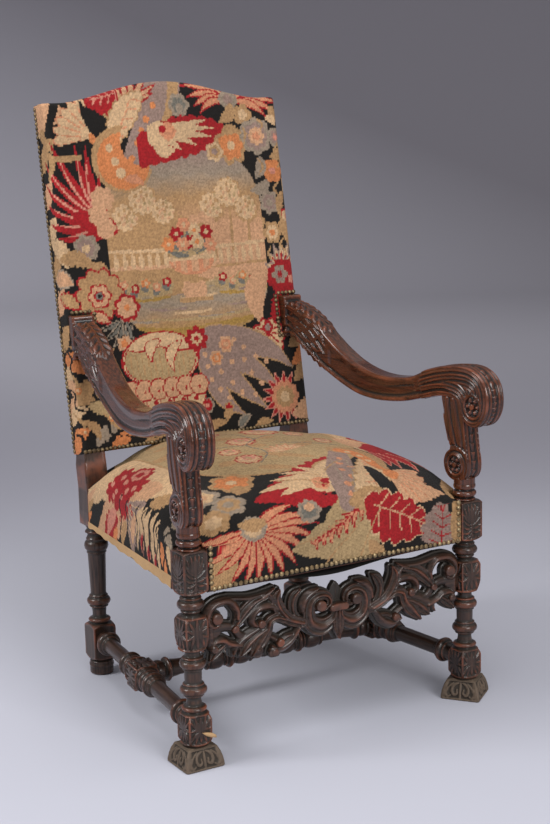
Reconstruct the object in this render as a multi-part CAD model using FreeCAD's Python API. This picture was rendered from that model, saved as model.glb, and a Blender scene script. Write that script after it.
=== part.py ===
import FreeCAD, Part
import math
import os

from FreeCAD import Vector

# Carved armchair with turned legs and a needlepoint seat and back, in millimetres.
# +Z is up, the sitter faces -Y, and the origin is on the floor below the middle of the chair.

# Seat plan: the leg axes stand on a trapezoid that is wider at the front
front_leg_spread = 600.0
back_leg_spread = 482.0
seat_depth = 524.0
front_leg_y = -298.0

# Square blocks left on the turned legs
leg_block = 48.6
block_end_radius = 26.0
block_corner_radius = 35.0
block_shoulder = 6.0
low_block_bottom = 40.0
low_block_height = 58.0
vase_block_bottom = 215.0
vase_block_height = 62.0
back_block_bottom = 33.0
back_block_height = 75.0

# Turned necks and rings of the legs; turnings are drawn with flats, which keeps the chair light
turning_sides = 12
neck_radius = 13.5
neck_reach = 12.0
shaft_radius = 15.8
ring_radius = 24.2
ring_rise = 8.0
collar_radius = 22.8
collar_rise = 4.5
back_shaft_low_radius = 16.2
back_shaft_top_radius = 18.5
broad_ring_rise = 15.0
collar_lift = 7.8
lower_ring_lift = 42.2
middle_ring_drop = 26.6
upper_ring_drop = 21.3
ankle_ring_lift = 48.0
broad_ring_drop = 45.0

# Front feet: bulging cushion blocks on dowels, as widths at heights
foot_levels = ((72.0, 0.0), (78.0, 9.0), (77.0, 19.0), (71.0, 30.0), (62.0, 37.0))
foot_corner_cut = 9.0
foot_dowel_radius = 10.0
foot_dowel_length = 20.0
right_foot_twist = 37.5
back_foot_radius = 24.0

# Seat rails and their joints
rail_bottom = 318.8
rail_height = 77.9
rail_thickness = 28.0
tenon_length = 18.0
tenon_thickness = 10.0
tenon_foot = 10.0
tenon_drop = 28.0
joint_clearance = 0.2
corner_block_leg = 70.0
corner_block_height = 40.0

# Low stretchers
stretcher_axis_height = 77.0
stretcher_tenon_radius = 11.0
stretcher_shaft_radius = 15.0
stretcher_flare_radius = 18.0
stretcher_ring_radius = 24.0
stretcher_ring_rise = 5.0
stretcher_end_ring = 8.0
stretcher_end_shaft = 22.0
stretcher_cup_radius = 20.0
stretcher_cup_start = 6.0
stretcher_cup_end = 20.0
stretcher_inner_ring = 26.0
stretcher_inner_shaft = 35.0
stretcher_block = 46.0
stretcher_block_length = 60.0
stretcher_block_ahead = 275.0
cross_vase_place = 52.0
cross_vase_rise = 18.0
cross_ring_place = 80.0
cross_cup_place = 112.0
cross_cup_rise = 14.0
cross_end_ring = 30.0
cross_end_cup = 12.0
cross_end_cup_rise = 12.0

# Carved front stretcher, given for its right half from the centre line
carved_axis_height = 243.0
carved_thickness = 28.0
carved_eye_thickness = 36.0
carved_tenon_height = 36.0
scroll_outer_radius = 43.0
scroll_overlap = 6.0
scroll_drop = 8.0
scroll_hole_radius = 19.0
scroll_hole_inward = 8.0
scroll_hole_rise = 11.0
scroll_eye_radius = 9.5
end_scroll_radius = 37.0
end_scroll_overlap = 8.0
end_scroll_rise = 22.0
end_scroll_hole_radius = 17.0
end_scroll_hole_inward = 9.0
clasp_half_width = 14.0
clasp_drop = 8.0
clasp_height = 11.0
pendant_length = 64.0
pendant_half_width = 10.0
# Leaves of the carving: root and tip from the middle line and the axis, bend of the spine, half width
carved_leaves = (
    ((70.0, 8.0), (38.0, 53.0), 14.0, 8.0),
    ((72.0, -22.0), (80.0, 57.0), -30.0, 8.0),
    ((72.0, -24.0), (126.0, 59.0), -16.0, 13.0),
    ((128.0, 20.0), (182.0, -2.0), 22.0, 8.0),
    ((70.0, -20.0), (152.0, -18.0), 30.0, 9.0),
    ((150.0, -14.0), (186.0, -62.0), 8.0, 14.0),
    ((152.0, 0.0), (208.0, -56.0), 10.0, 13.0),
    ((180.0, 36.0), (216.0, -6.0), -6.0, 17.0),
    ((98.0, -46.0), (140.0, -54.0), -14.0, 11.0),
    ((120.0, 0.0), (124.0, -62.0), 8.0, 11.0),
)
# Leaves by the leg, the same way, but measured in from the leg
carved_end_leaves = (
    ((71.7, -44.0), (16.0, -18.0), 10.0, 9.0),
    ((20.0, 0.0), (8.0, -58.0), 6.0, 15.0),
    ((141.7, 62.0), (25.0, 58.0), -10.0, 7.0),
)

# Arms
arm_seat_height = 592.0
arm_front_rise = 65.0
arm_front_bend = (50.0, 7.0)
arm_front_turn = (112.0, 17.0)
arm_dip_rise = 20.0
arm_dip_bend = (255.0, 4.0)
arm_dip_depth = 52.5
arm_dip_under = 247.0
arm_rear_turn = (162.0, 60.0)
arm_rear_bend = (92.0, 16.0)
arm_rear_turn_under = (82.0, 23.0)
arm_rear_bend_under = (44.0, 3.0)
arm_heel = 61.0
arm_chin_step = 4.0
arm_nose_bend = (20.0, 15.0)
arm_rear_rise = 148.0
arm_rear_block = 75.0
arm_width_front = 46.0
arm_width_rear = 38.0
arm_top_step = 7.0
arm_top_inset = 8.0
arm_scroll_radius = 38.0
arm_scroll_ahead = 45.0
arm_scroll_drop = 6.0
rosette_radius = 21.0
rosette_rise = 2.0
arm_tenon_height = 45.0

# Arm supports
support_width = 40.0
support_tenon_radius = 9.0
support_tenon_length = 20.0
support_tenon_behind = 20.0
support_ring_radius = 22.0
support_ring_height = 13.0
volute_radius = 33.0
volute_rise = 69.3
volute_behind = 6.0
volute_cheek = (26.4, 19.8)
volute_back_join = (16.0, 29.0)
volute_front_join = 4.0
support_front_bend = -20.0
support_back_bend = 36.0
support_top = (-6.0, 42.0)

# Seat upholstery
cover_thickness = 2.2
cloth_gap = 0.3
cover_recess = 2.0
seat_crown_height = 486.0
seat_crown_radius = 1250.0
seat_rim = ((0.0, 408.0), (7.0, 434.0), (28.0, 456.0), (96.0, 494.0))
strap_width = 52.0
strap_thickness = 1.5
hessian_thickness = 1.2
seat_straps = 4
seat_cover_bottom = 321.0
side_cover_bottom = 346.0
lining_thickness = 0.9
dust_cloth_thickness = 1.0

# Raked back
back_rake = 9.8
back_gap = 72.0
back_shoulder_height = 704.0
back_crest_rise = 39.0
back_crest_half_width = 125.0
back_neck_rise = 17.0
back_neck_width = 80.0
back_neck_dip = (39.0, 4.3)
stile_depth = 40.0
back_edge_padding = 8.0
back_crown = 12.0
crest_rail_height = 75.0
bottom_rail_height = 50.0
back_rail_thickness = 26.0
back_straps = 4
outside_cloth_thickness = 1.5
frame_relief = 1.0

# Places worked out from the sizes above
half_block = leg_block / 2
foot_height = foot_levels[-1][1]
foot_dowel_top = low_block_bottom + foot_dowel_length
half_front = front_leg_spread / 2
half_back = back_leg_spread / 2
back_leg_y = front_leg_y + seat_depth
middle_y = (front_leg_y + back_leg_y) / 2
rail_top = rail_bottom + rail_height
low_block_top = low_block_bottom + low_block_height
vase_block_top = vase_block_bottom + vase_block_height
back_block_top = back_block_bottom + back_block_height
support_tenon_foot = rail_top - support_tenon_length
rail_setback = cover_recess + cover_thickness + cloth_gap
stile_front_y = back_leg_y - half_block
rake_angle = math.radians(back_rake)
panel_half_width = half_back + half_block + cloth_gap + cover_thickness
panel_shoulder = back_gap + back_shoulder_height
panel_crest = panel_shoulder + back_crest_rise
stile_length = panel_shoulder - cover_thickness - cloth_gap - frame_relief
arm_front_top = arm_seat_height + arm_front_rise
arm_dip_top = arm_seat_height + arm_dip_rise
arm_rear_top = arm_seat_height + arm_rear_rise
arm_scroll_height = arm_seat_height - arm_scroll_drop
volute_height = rail_top + volute_rise
arm_rear_y = stile_front_y + (arm_rear_top - rail_top) * math.tan(rake_angle)
arm_toe = math.degrees(math.atan2(half_front - half_back, arm_rear_y - front_leg_y))
arm_length = math.hypot(half_front - half_back, arm_rear_y - front_leg_y)
side_toe = math.degrees(math.atan2(half_front - half_back, seat_depth))
side_length = math.hypot(half_front - half_back, seat_depth)

UP = Vector(0, 0, 1)
ACROSS = Vector(1, 0, 0)
ORIGIN = Vector(0, 0, 0)
CREST = "crest"


# General shapes
def box(x_range, y_range, z_range):
    size = [limits[1] - limits[0] for limits in (x_range, y_range, z_range)]
    return Part.makeBox(*size, Vector(x_range[0], y_range[0], z_range[0]))


def flat(points):
    return Part.Face(Part.makePolygon(points + points[:1]))


def prism(corners, bottom, top):
    """Upright prism over plan corners."""
    return flat([Vector(x, y, bottom) for x, y in corners]).extrude(Vector(0, 0, top - bottom))


def stacked(loops):
    """Solid through level loops with equal numbers of corners, joined by flat sides."""
    faces = [flat(loops[0][::-1]), flat(loops[-1])]
    for low, high in zip(loops, loops[1:]):
        for index in range(len(low)):
            other = index - 1
            faces.append(flat([low[other], low[index], high[index], high[other]]))
    return Part.makeSolid(Part.makeShell(faces))


def outline_edges(points):
    """Lines through points; a point marked CREST is the middle of an arc between its neighbours."""
    places = [point[0] for point in points]
    edges = []
    index = 1
    while index < len(points):
        if points[index][1] == CREST:
            edges.append(Part.Arc(places[index - 1], places[index], places[index + 1]).toShape())
            index += 2
        else:
            edges.append(Part.LineSegment(places[index - 1], places[index]).toShape())
            index += 1
    return edges


def turned(profile):
    """Turning about Z through (radius, height) steps."""
    corners = [2 * math.pi * (side + 0.5) / turning_sides for side in range(turning_sides)]
    loops = []
    for radius, height in profile:
        loops.append([Vector(radius * math.cos(turn), radius * math.sin(turn), height) for turn in corners])
    return stacked(loops)


def rod(radius, bottom, top):
    return turned([(radius, bottom), (radius, top)])


def ring(height, radius, foot_radius, rise):
    """Steps of a turned ring that swells from foot_radius to radius and back."""
    half_rim = rise / 2
    return [
        (foot_radius, height - rise),
        (radius, height - half_rim),
        (radius, height + half_rim),
        (foot_radius, height + rise),
    ]


def laid_along(shape, start, toe):
    """Lays a shape made on the Z axis level, running back from start with its toe-in."""
    shape.rotate(ORIGIN, ACROSS, -90)
    shape.rotate(ORIGIN, UP, toe)
    shape.translate(start)
    return shape


def mirrored(shape):
    return shape.mirror(ORIGIN, ACROSS)


def fused(shapes):
    return shapes[0].multiFuse(shapes[1:]).removeSplitter()


# Square blocks whose corners the turner has rounded at both ends
def turned_block(bottom, top, lower_radius):
    profile = [
        (lower_radius, bottom),
        (block_corner_radius, bottom + block_shoulder + block_end_radius - lower_radius),
        (block_corner_radius, top - block_shoulder),
        (block_end_radius, top),
    ]
    square = box((-half_block, half_block), (-half_block, half_block), (bottom, top))
    return square.common(turned(profile))


# Places along the sides of the seat, between the leg blocks
def side_line(y, inset):
    """Distance from the middle to the outer line of the leg blocks, moved in by inset."""
    share = (y - front_leg_y) / seat_depth
    return half_front + (half_back - half_front) * share + half_block - inset


def side_bar(y_range, z_range, inset, thickness):
    """Bar that runs along the right side of the seat."""
    front, rear = y_range
    corners = [
        (side_line(front, inset), front),
        (side_line(rear, inset), rear),
        (side_line(rear, inset + thickness), rear),
        (side_line(front, inset + thickness), front),
    ]
    return prism(corners, *z_range)


# Tenons and their mortises share these shapes; a mortise is grown by the joint clearance
tenon_inset = rail_setback + (rail_thickness - tenon_thickness) / 2
tenon_levels = (rail_bottom + tenon_foot, rail_top - tenon_drop)


def front_tenon(grow):
    inner = half_front - half_block
    front = front_leg_y - half_block + tenon_inset
    return box(
        (inner - grow, inner + tenon_length + grow),
        (front - grow, front + tenon_thickness + grow),
        (tenon_levels[0] - grow, tenon_levels[1] + grow),
    )


def back_tenon(grow):
    inner = half_back - half_block
    rear = back_leg_y + half_block - tenon_inset
    return box(
        (inner - grow, inner + tenon_length + grow),
        (rear - tenon_thickness - grow, rear + grow),
        (tenon_levels[0] - grow, tenon_levels[1] + grow),
    )


def side_tenons(grow):
    front_face = front_leg_y + half_block
    rear_face = back_leg_y - half_block
    return side_bar(
        (front_face - tenon_length - grow, rear_face + tenon_length + grow),
        (tenon_levels[0] - grow, tenon_levels[1] + grow),
        tenon_inset - grow,
        tenon_thickness + 2 * grow,
    )


def side_stretcher_tenons(grow):
    reach = half_block - tenon_length - grow
    tenons = rod(stretcher_tenon_radius + grow, reach, side_length - reach)
    return laid_along(tenons, stretcher_origin(), side_toe)


def carved_tenon(grow):
    inner = half_front - half_block
    return box(
        (inner - grow, inner + tenon_length + grow),
        (front_leg_y - tenon_thickness / 2 - grow, front_leg_y + tenon_thickness / 2 + grow),
        (carved_axis_height - carved_tenon_height / 2 - grow,
         carved_axis_height + carved_tenon_height / 2 + grow),
    )


# Front legs
def front_leg():
    upper_ring = rail_bottom - upper_ring_drop
    middle_ring = vase_block_bottom - middle_ring_drop
    lower_ring = low_block_top + lower_ring_lift
    collar = low_block_top + collar_lift
    profile = [(neck_radius, low_block_bottom + block_shoulder)]
    profile += ring(collar, collar_radius, neck_radius, collar_rise)
    profile += [(neck_radius, lower_ring - neck_reach)]
    profile += ring(lower_ring, ring_radius, shaft_radius, ring_rise)
    profile += ring(middle_ring, ring_radius, shaft_radius, ring_rise)
    profile += [(neck_radius, middle_ring + neck_reach), (neck_radius, upper_ring - neck_reach)]
    profile += ring(upper_ring, ring_radius, shaft_radius, ring_rise)
    profile += [(neck_radius, upper_ring + neck_reach), (neck_radius, rail_bottom + block_shoulder)]
    leg = fused([
        turned(profile),
        turned_block(low_block_bottom, low_block_top, collar_radius),
        turned_block(vase_block_bottom, vase_block_top, neck_radius),
        turned_block(rail_bottom, rail_top, block_end_radius),
    ])
    leg.translate(Vector(half_front, front_leg_y, 0))
    foot_bore = rod(foot_dowel_radius + joint_clearance, 0, foot_dowel_top + joint_clearance)
    support_bore = rod(support_tenon_radius + joint_clearance, support_tenon_foot - joint_clearance, rail_top)
    for bore in (foot_bore, support_bore):
        bore.translate(Vector(half_front, front_leg_y, 0))
    mortises = [
        foot_bore,
        support_bore,
        front_tenon(joint_clearance),
        side_tenons(joint_clearance),
        side_stretcher_tenons(joint_clearance),
        carved_tenon(joint_clearance),
    ]
    return leg.cut(mortises)


# Front feet: bulging blocks with cut corners, on a short neck and a dowel
def foot_loop(width, height):
    half = width / 2
    inner = half - foot_corner_cut
    quarter = [Vector(half, -inner, height), Vector(half, inner, height)]
    loop = []
    for turn in (0, 90, 180, 270):
        rotation = FreeCAD.Rotation(UP, turn)
        loop += [rotation.multVec(corner) for corner in quarter]
    return loop


def front_foot(twist):
    cushion = stacked([foot_loop(width, height) for width, height in foot_levels])
    cushion.rotate(ORIGIN, UP, twist)
    neck = rod(collar_radius, foot_height, low_block_bottom)
    dowel = rod(foot_dowel_radius, low_block_bottom, foot_dowel_top)
    foot = fused([cushion, neck, dowel])
    foot.translate(Vector(half_front, front_leg_y, 0))
    return foot


# The raked upper stile's side view, from the seat rail up; grow widens it for cut-outs
def leaned_place(behind, height):
    """A side-view place on the raked back, behind the stiles' front face and up from the seat rail."""
    y = stile_front_y + height * math.sin(rake_angle) + behind * math.cos(rake_angle)
    return (y, rail_top + height * math.cos(rake_angle) - behind * math.sin(rake_angle))


def stile(grow):
    side = [
        (stile_front_y - grow, rail_bottom),
        (stile_front_y - grow, rail_top),
        leaned_place(-grow, stile_length + grow),
        leaned_place(stile_depth + grow, stile_length + grow),
        leaned_place(stile_depth + grow, back_gap),
        (back_leg_y + half_block + grow, rail_top),
        (back_leg_y + half_block + grow, rail_bottom),
    ]
    inner = half_back - half_block - grow
    return flat([Vector(inner, y, z) for y, z in side]).extrude(Vector(leg_block + 2 * grow, 0, 0))


# Back legs: turned below the seat and square above it
def back_leg(arm_tenon_hole):
    broad_ring = rail_bottom - broad_ring_drop
    ankle_ring = back_block_top + ankle_ring_lift
    profile = [(back_foot_radius, 0), (back_foot_radius, back_block_bottom)]
    profile += [(neck_radius, back_block_bottom), (neck_radius, back_block_top)]
    profile += ring(back_block_top + collar_lift, ring_radius, neck_radius, collar_rise)
    profile += [(neck_radius, ankle_ring - neck_reach)]
    profile += ring(ankle_ring, ring_radius, back_shaft_low_radius, ring_rise)
    profile += ring(broad_ring, ring_radius, back_shaft_top_radius, broad_ring_rise)
    profile += [(back_shaft_low_radius, rail_bottom - neck_reach)]
    profile += [(back_shaft_low_radius, rail_bottom + block_shoulder)]
    leg = fused([
        turned(profile),
        turned_block(back_block_bottom, back_block_top, block_end_radius),
    ])
    leg.translate(Vector(half_back, back_leg_y, 0))
    mortises = [
        back_tenon(joint_clearance),
        side_tenons(joint_clearance),
        side_stretcher_tenons(joint_clearance),
        arm_tenon_hole,
        crest_tenon(joint_clearance),
        bottom_tenon(joint_clearance),
    ]
    return leg.fuse(stile(0)).cut(mortises)


# Seat rails
def front_rail():
    reach = half_front - half_block
    front = front_leg_y - half_block + rail_setback
    rail = box((-reach, reach), (front, front + rail_thickness), (rail_bottom, rail_top))
    return fused([rail, front_tenon(0), mirrored(front_tenon(0))])


def back_rail():
    reach = half_back - half_block
    rear = back_leg_y + half_block - rail_setback
    rail = box((-reach, reach), (rear - rail_thickness, rear), (rail_bottom, rail_top))
    return fused([rail, back_tenon(0), mirrored(back_tenon(0))])


def side_rail():
    ends = (front_leg_y + half_block, back_leg_y - half_block)
    rail = side_bar(ends, (rail_bottom, rail_top), rail_setback, rail_thickness)
    return fused([rail, side_tenons(0)])


# Glued blocks that brace the corners of the seat frame behind the legs
def corner_block(y_inner, turn):
    inner = side_line(y_inner, rail_setback + rail_thickness)
    far_y = y_inner + turn * corner_block_leg
    plan = [
        (inner, y_inner),
        (side_line(far_y, rail_setback + rail_thickness), far_y),
        (inner - corner_block_leg, y_inner),
    ]
    top = rail_top - tenon_foot
    return prism(plan, top - corner_block_height, top)


def front_corner_block():
    inner_face = front_leg_y - half_block + rail_setback + rail_thickness
    block = corner_block(inner_face, 1)
    return block.cut(leg_space(half_front, front_leg_y))


def back_corner_block():
    inner_face = back_leg_y + half_block - rail_setback - rail_thickness
    block = corner_block(inner_face, -1)
    return block.cut(leg_space(half_back, back_leg_y))


def leg_space(x, y):
    """The square column that a leg block stands in."""
    return box((x - half_block, x + half_block), (y - half_block, y + half_block), (rail_bottom, rail_top))


# Turned cup and ring of a low stretcher, from a square block out to its shaft
def stretcher_end(block_face, outward):
    ring_place = block_face + outward * stretcher_inner_ring
    steps = [
        (neck_radius, block_face),
        (stretcher_cup_radius, block_face + outward * stretcher_cup_start),
        (stretcher_cup_radius, block_face + outward * stretcher_cup_end),
    ]
    steps += ring(ring_place, stretcher_ring_radius, stretcher_flare_radius, outward * stretcher_ring_rise)
    steps += [(stretcher_flare_radius, block_face + outward * stretcher_inner_shaft)]
    return steps


def side_stretcher():
    start = half_block
    end = side_length - half_block
    block_start = stretcher_block_ahead - stretcher_block_length / 2
    block_end = block_start + stretcher_block_length
    first_ring = start + stretcher_end_ring
    last_ring = end - stretcher_end_ring
    profile = [(stretcher_shaft_radius, start - stretcher_end_ring)]
    profile += ring(first_ring, stretcher_ring_radius, stretcher_shaft_radius, stretcher_ring_rise)
    profile += [(stretcher_shaft_radius, start + stretcher_end_shaft)]
    profile += stretcher_end(block_start, -1)[::-1]
    profile += stretcher_end(block_end, 1)
    profile += [(stretcher_shaft_radius, end - stretcher_end_shaft)]
    profile += ring(last_ring, stretcher_ring_radius, stretcher_shaft_radius, stretcher_ring_rise)
    profile += [(stretcher_shaft_radius, end + stretcher_end_ring)]
    half = stretcher_block / 2
    block = box((-half, half), (-half, half), (block_start, block_end))
    rod = laid_along(fused([turned(profile), block]), stretcher_origin(), side_toe)
    ends = [
        box((half_front - half_block * 2, half_front + half_block * 2),
            (front_leg_y - half_block, front_leg_y + half_block), (0, rail_bottom)),
        box((half_back - half_block * 2, half_back + half_block * 2),
            (back_leg_y - half_block, back_leg_y + half_block), (0, rail_bottom)),
    ]
    return fused([rod.cut(ends), side_stretcher_tenons(0)]).cut(cross_tenons(joint_clearance))


def stretcher_origin():
    return Vector(half_front, front_leg_y, stretcher_axis_height)


def stretcher_block_centre():
    toe = math.radians(side_toe)
    return Vector(half_front - stretcher_block_ahead * math.sin(toe),
                  front_leg_y + stretcher_block_ahead * math.cos(toe), stretcher_axis_height)


def cross_tenons(grow):
    centre = stretcher_block_centre()
    reach = centre.x - stretcher_block / 2 + tenon_length + grow
    tenons = rod(stretcher_tenon_radius + grow, -reach, reach)
    tenons.rotate(ORIGIN, Vector(0, 1, 0), 90)
    tenons.translate(Vector(0, centre.y, centre.z))
    return tenons


# Cross stretcher: turned between the blocks of the two side stretchers
def cross_stretcher():
    centre = stretcher_block_centre()
    reach = centre.x - stretcher_block / 2
    radius = stretcher_ring_radius
    shaft = stretcher_shaft_radius
    right = ring(cross_vase_place, radius, shaft, cross_vase_rise)
    right += ring(cross_ring_place, radius, shaft, stretcher_ring_rise)
    right += ring(cross_cup_place, stretcher_cup_radius, shaft, cross_cup_rise)
    right += ring(reach - cross_end_ring, radius, shaft, stretcher_ring_rise)
    right += ring(reach - cross_end_cup, stretcher_cup_radius, shaft, cross_end_cup_rise)
    right += [(shaft, reach + stretcher_end_ring)]
    left = [(step[0], -step[1]) for step in right[::-1]]
    rod = turned(left + right)
    rod.rotate(ORIGIN, Vector(0, 1, 0), 90)
    rod.translate(Vector(0, centre.y, centre.z))
    half = stretcher_block / 2
    block = box((-half, half), (-half, half),
                (stretcher_block_ahead - stretcher_block_length / 2,
                 stretcher_block_ahead + stretcher_block_length / 2))
    block = laid_along(block, stretcher_origin(), side_toe)
    return fused([rod.cut([block, mirrored(block)]), cross_tenons(0)])


# Carved front stretcher: scrolls and leaves as flat shapes in the XZ plane, right half
def carved_point(x, height):
    return Vector(x, 0, carved_axis_height + height)


def carved_layer(face, thickness):
    face.translate(Vector(0, front_leg_y - thickness / 2, 0))
    return face.extrude(Vector(0, thickness, 0))


def disc(x, height, radius):
    circle = Part.Circle(carved_point(x, height), Vector(0, 1, 0), radius)
    return Part.Face(Part.Wire(circle.toShape()))


def leaf(root, tip, bulge, fullness):
    """Pointed leaf between root and tip; bulge bends its spine and fullness sets its half width."""
    start = carved_point(*root)
    end = carved_point(*tip)
    along = end - start
    side = Vector(-along.z, 0, along.x).normalize()
    middle = (start + end) * 0.5
    first = Part.Arc(start, middle + side * (bulge + fullness), end).toShape()
    second = Part.Arc(end, middle + side * (bulge - fullness), start).toShape()
    return Part.Face(Part.Wire([first, second]))


def carved_half():
    reach = half_front - half_block
    scroll_x = scroll_outer_radius - scroll_overlap
    hole_x = scroll_x - scroll_hole_inward
    hole = disc(hole_x, scroll_hole_rise - scroll_drop, scroll_hole_radius)
    scroll = disc(scroll_x, -scroll_drop, scroll_outer_radius).cut(hole)
    end_x = reach - end_scroll_radius + end_scroll_overlap
    end_hole = disc(end_x - end_scroll_hole_inward, end_scroll_rise, end_scroll_hole_radius)
    end_scroll = disc(end_x, end_scroll_rise, end_scroll_radius).cut(end_hole)
    leaves = [leaf(*sizes) for sizes in carved_leaves]
    for root, tip, bulge, fullness in carved_end_leaves:
        leaves.append(leaf((reach - root[0], root[1]), (reach - tip[0], tip[1]), bulge, fullness))
    eyes = [
        disc(hole_x + scroll_hole_radius - scroll_overlap, scroll_drop, scroll_eye_radius),
        disc(end_x + end_scroll_hole_inward, end_scroll_rise, scroll_eye_radius),
    ]
    flat_carving = fused(leaves + [scroll, end_scroll]).Faces
    layers = [carved_layer(shape, carved_thickness) for shape in flat_carving]
    layers += [carved_layer(shape, carved_eye_thickness) for shape in eyes]
    return layers


def front_stretcher():
    half = carved_half()
    clasp_bottom = carved_axis_height - clasp_drop
    clasp = box(
        (-clasp_half_width, clasp_half_width),
        (front_leg_y - carved_eye_thickness / 2, front_leg_y + carved_eye_thickness / 2),
        (clasp_bottom, clasp_bottom + clasp_height),
    )
    pendant_tip = (0, -clasp_drop - pendant_length)
    pendant = carved_layer(leaf((0, 0), pendant_tip, 0, pendant_half_width), carved_eye_thickness)
    body = fused(half + [mirrored(layer) for layer in half] + [clasp, pendant])
    reach = half_front - half_block
    span = box((-reach, reach), (front_leg_y - carved_thickness, front_leg_y + carved_thickness),
               (0, rail_bottom))
    return fused([body.common(span), carved_tenon(0), mirrored(carved_tenon(0))])


# Arms, in their own frame: Y runs back from the front leg's axis, X outwards
def set_on_arm_line(shape):
    shape.rotate(ORIGIN, UP, arm_toe)
    shape.translate(Vector(half_front, front_leg_y, 0))
    return shape


def side_point(back, height):
    return Vector(0, back, height)


def arm_outline():
    end = arm_length + half_block / 2
    rear_bottom = arm_rear_top - arm_rear_block
    dip_bottom = arm_dip_top - arm_dip_depth
    nose = -arm_scroll_ahead - arm_scroll_radius
    chin = -arm_scroll_ahead + arm_scroll_radius
    top = [
        ((end, arm_rear_top), None),
        ((arm_length - arm_rear_bend[0], arm_rear_top - arm_rear_bend[1]), CREST),
        ((arm_length - arm_rear_turn[0], arm_rear_top - arm_rear_turn[1]), None),
        ((arm_dip_bend[0], arm_dip_top + arm_dip_bend[1]), CREST),
        ((arm_front_turn[0], arm_dip_top + arm_front_turn[1]), None),
        ((arm_front_bend[0], arm_front_top - arm_front_bend[1]), CREST),
        ((0, arm_front_top), None),
    ]
    scroll = [
        ((nose + arm_nose_bend[0], arm_front_top - arm_nose_bend[1]), CREST),
        ((nose, arm_scroll_height), None),
        ((-arm_scroll_ahead, arm_scroll_height - arm_scroll_radius), CREST),
        ((chin, arm_scroll_height), None),
    ]
    bottom = [
        ((chin + arm_chin_step, arm_seat_height), None),
        ((arm_heel, arm_seat_height), None),
        ((arm_dip_under, dip_bottom), CREST),
        ((arm_length - arm_rear_turn_under[0], rear_bottom - arm_rear_turn_under[1]), None),
        ((arm_length - arm_rear_bend_under[0], rear_bottom - arm_rear_bend_under[1]), CREST),
        ((end, rear_bottom), None),
        ((end, arm_rear_top), None),
    ]
    return outline_edges([(side_point(*place), mark) for place, mark in top + scroll + bottom])


def arm_blank(inset):
    """The arm's side view cut to its plan, made narrower by inset on each side."""
    widest = arm_width_front / 2 - inset
    narrow = arm_width_rear / 2 - inset
    face = Part.Face(Part.Wire(arm_outline()))
    face.translate(Vector(-widest, 0, 0))
    slab = face.extrude(Vector(2 * widest, 0, 0))
    front = -arm_scroll_ahead - 2 * arm_scroll_radius
    rear = arm_length + leg_block
    plan = [(-widest, front), (widest, front), (widest, 0), (narrow, rear), (-narrow, rear), (-widest, 0)]
    return slab.common(prism(plan, 0, arm_rear_top + leg_block))


def arm():
    blank = arm_blank(0)
    lowered = blank.copy()
    lowered.translate(Vector(0, 0, -arm_top_step))
    width = arm_width_front + 2 * rosette_rise
    eye_start = Vector(-width / 2, -arm_scroll_ahead, arm_scroll_height)
    eye = Part.makeCylinder(rosette_radius, width, eye_start, ACROSS)
    moulded = fused([blank.common(lowered), arm_blank(arm_top_inset), eye])
    body = set_on_arm_line(moulded).cut(stile(0))
    return fused([body, arm_tenon(0)]).cut(support_top_tenon(joint_clearance))


def arm_tenon(grow):
    """Tenon at the arm's rear end, let into the stile."""
    middle = arm_rear_top - arm_rear_block / 2
    half_height = arm_tenon_height / 2 + grow
    half_thickness = tenon_thickness / 2 + grow
    rear = arm_length + tenon_length + grow
    tenon = box((-half_thickness, half_thickness), (arm_length - arm_rear_block, rear),
                (middle - half_height, middle + half_height))
    tenon = set_on_arm_line(tenon)
    return tenon.common(stile(0))


def support_top_tenon(grow):
    tenon = rod(support_tenon_radius + grow, arm_seat_height, arm_seat_height + support_tenon_length + grow)
    tenon.translate(Vector(0, support_tenon_behind, 0))
    return set_on_arm_line(tenon)


# Arm supports: a volute on a turned ring, sweeping up to the arm
def arm_support():
    eye = (volute_behind, volute_height)
    back_join = (volute_behind + volute_back_join[0], volute_height + volute_back_join[1])
    front_join = (volute_behind - volute_radius, volute_height + volute_front_join)
    top = arm_seat_height + arm_top_step
    outline = [
        (back_join, None),
        ((volute_behind + volute_radius, volute_height), CREST),
        ((volute_behind, volute_height - volute_radius), None),
        ((volute_behind - volute_cheek[0], volute_height - volute_cheek[1]), CREST),
        (front_join, None),
        ((support_front_bend, (front_join[1] + top) / 2), CREST),
        ((support_top[0], top), None),
        ((support_top[1], top), None),
        ((support_back_bend, (back_join[1] + top) / 2), CREST),
        (back_join, None),
    ]
    edges = outline_edges([(side_point(*place), mark) for place, mark in outline])
    face = Part.Face(Part.Wire(edges))
    face.translate(Vector(-support_width / 2, 0, 0))
    body = face.extrude(Vector(support_width, 0, 0))
    width = support_width + 2 * rosette_rise
    rosette = Part.makeCylinder(rosette_radius, width, Vector(-width / 2, *eye), ACROSS)
    ring_height = rail_top + support_ring_height
    foot = turned(
        [(neck_radius, rail_top)]
        + ring(ring_height, support_ring_radius, neck_radius, ring_rise)
        + [(neck_radius, volute_height - rosette_radius)]
    )
    support = set_on_arm_line(fused([body, rosette, foot]))
    seat = set_on_arm_line(arm_blank(0))
    tenon = rod(support_tenon_radius, support_tenon_foot, rail_top)
    tenon.translate(Vector(half_front, front_leg_y, 0))
    return fused([support.cut(seat), support_top_tenon(0), tenon])


# Seat upholstery: one crowned form, made smaller by inset for each layer inside it
def seat_plan(inset):
    """Corners of the seat's plan, inside the leg blocks' outer lines."""
    edge = cover_recess + inset
    front = front_leg_y - half_block + edge
    rear = back_leg_y + half_block - edge
    return [
        (-side_line(front, edge), front),
        (side_line(front, edge), front),
        (side_line(rear, edge), rear),
        (-side_line(rear, edge), rear),
    ]


def seat_block(inset, bottom, top):
    return prism(seat_plan(inset), bottom, top)


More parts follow.
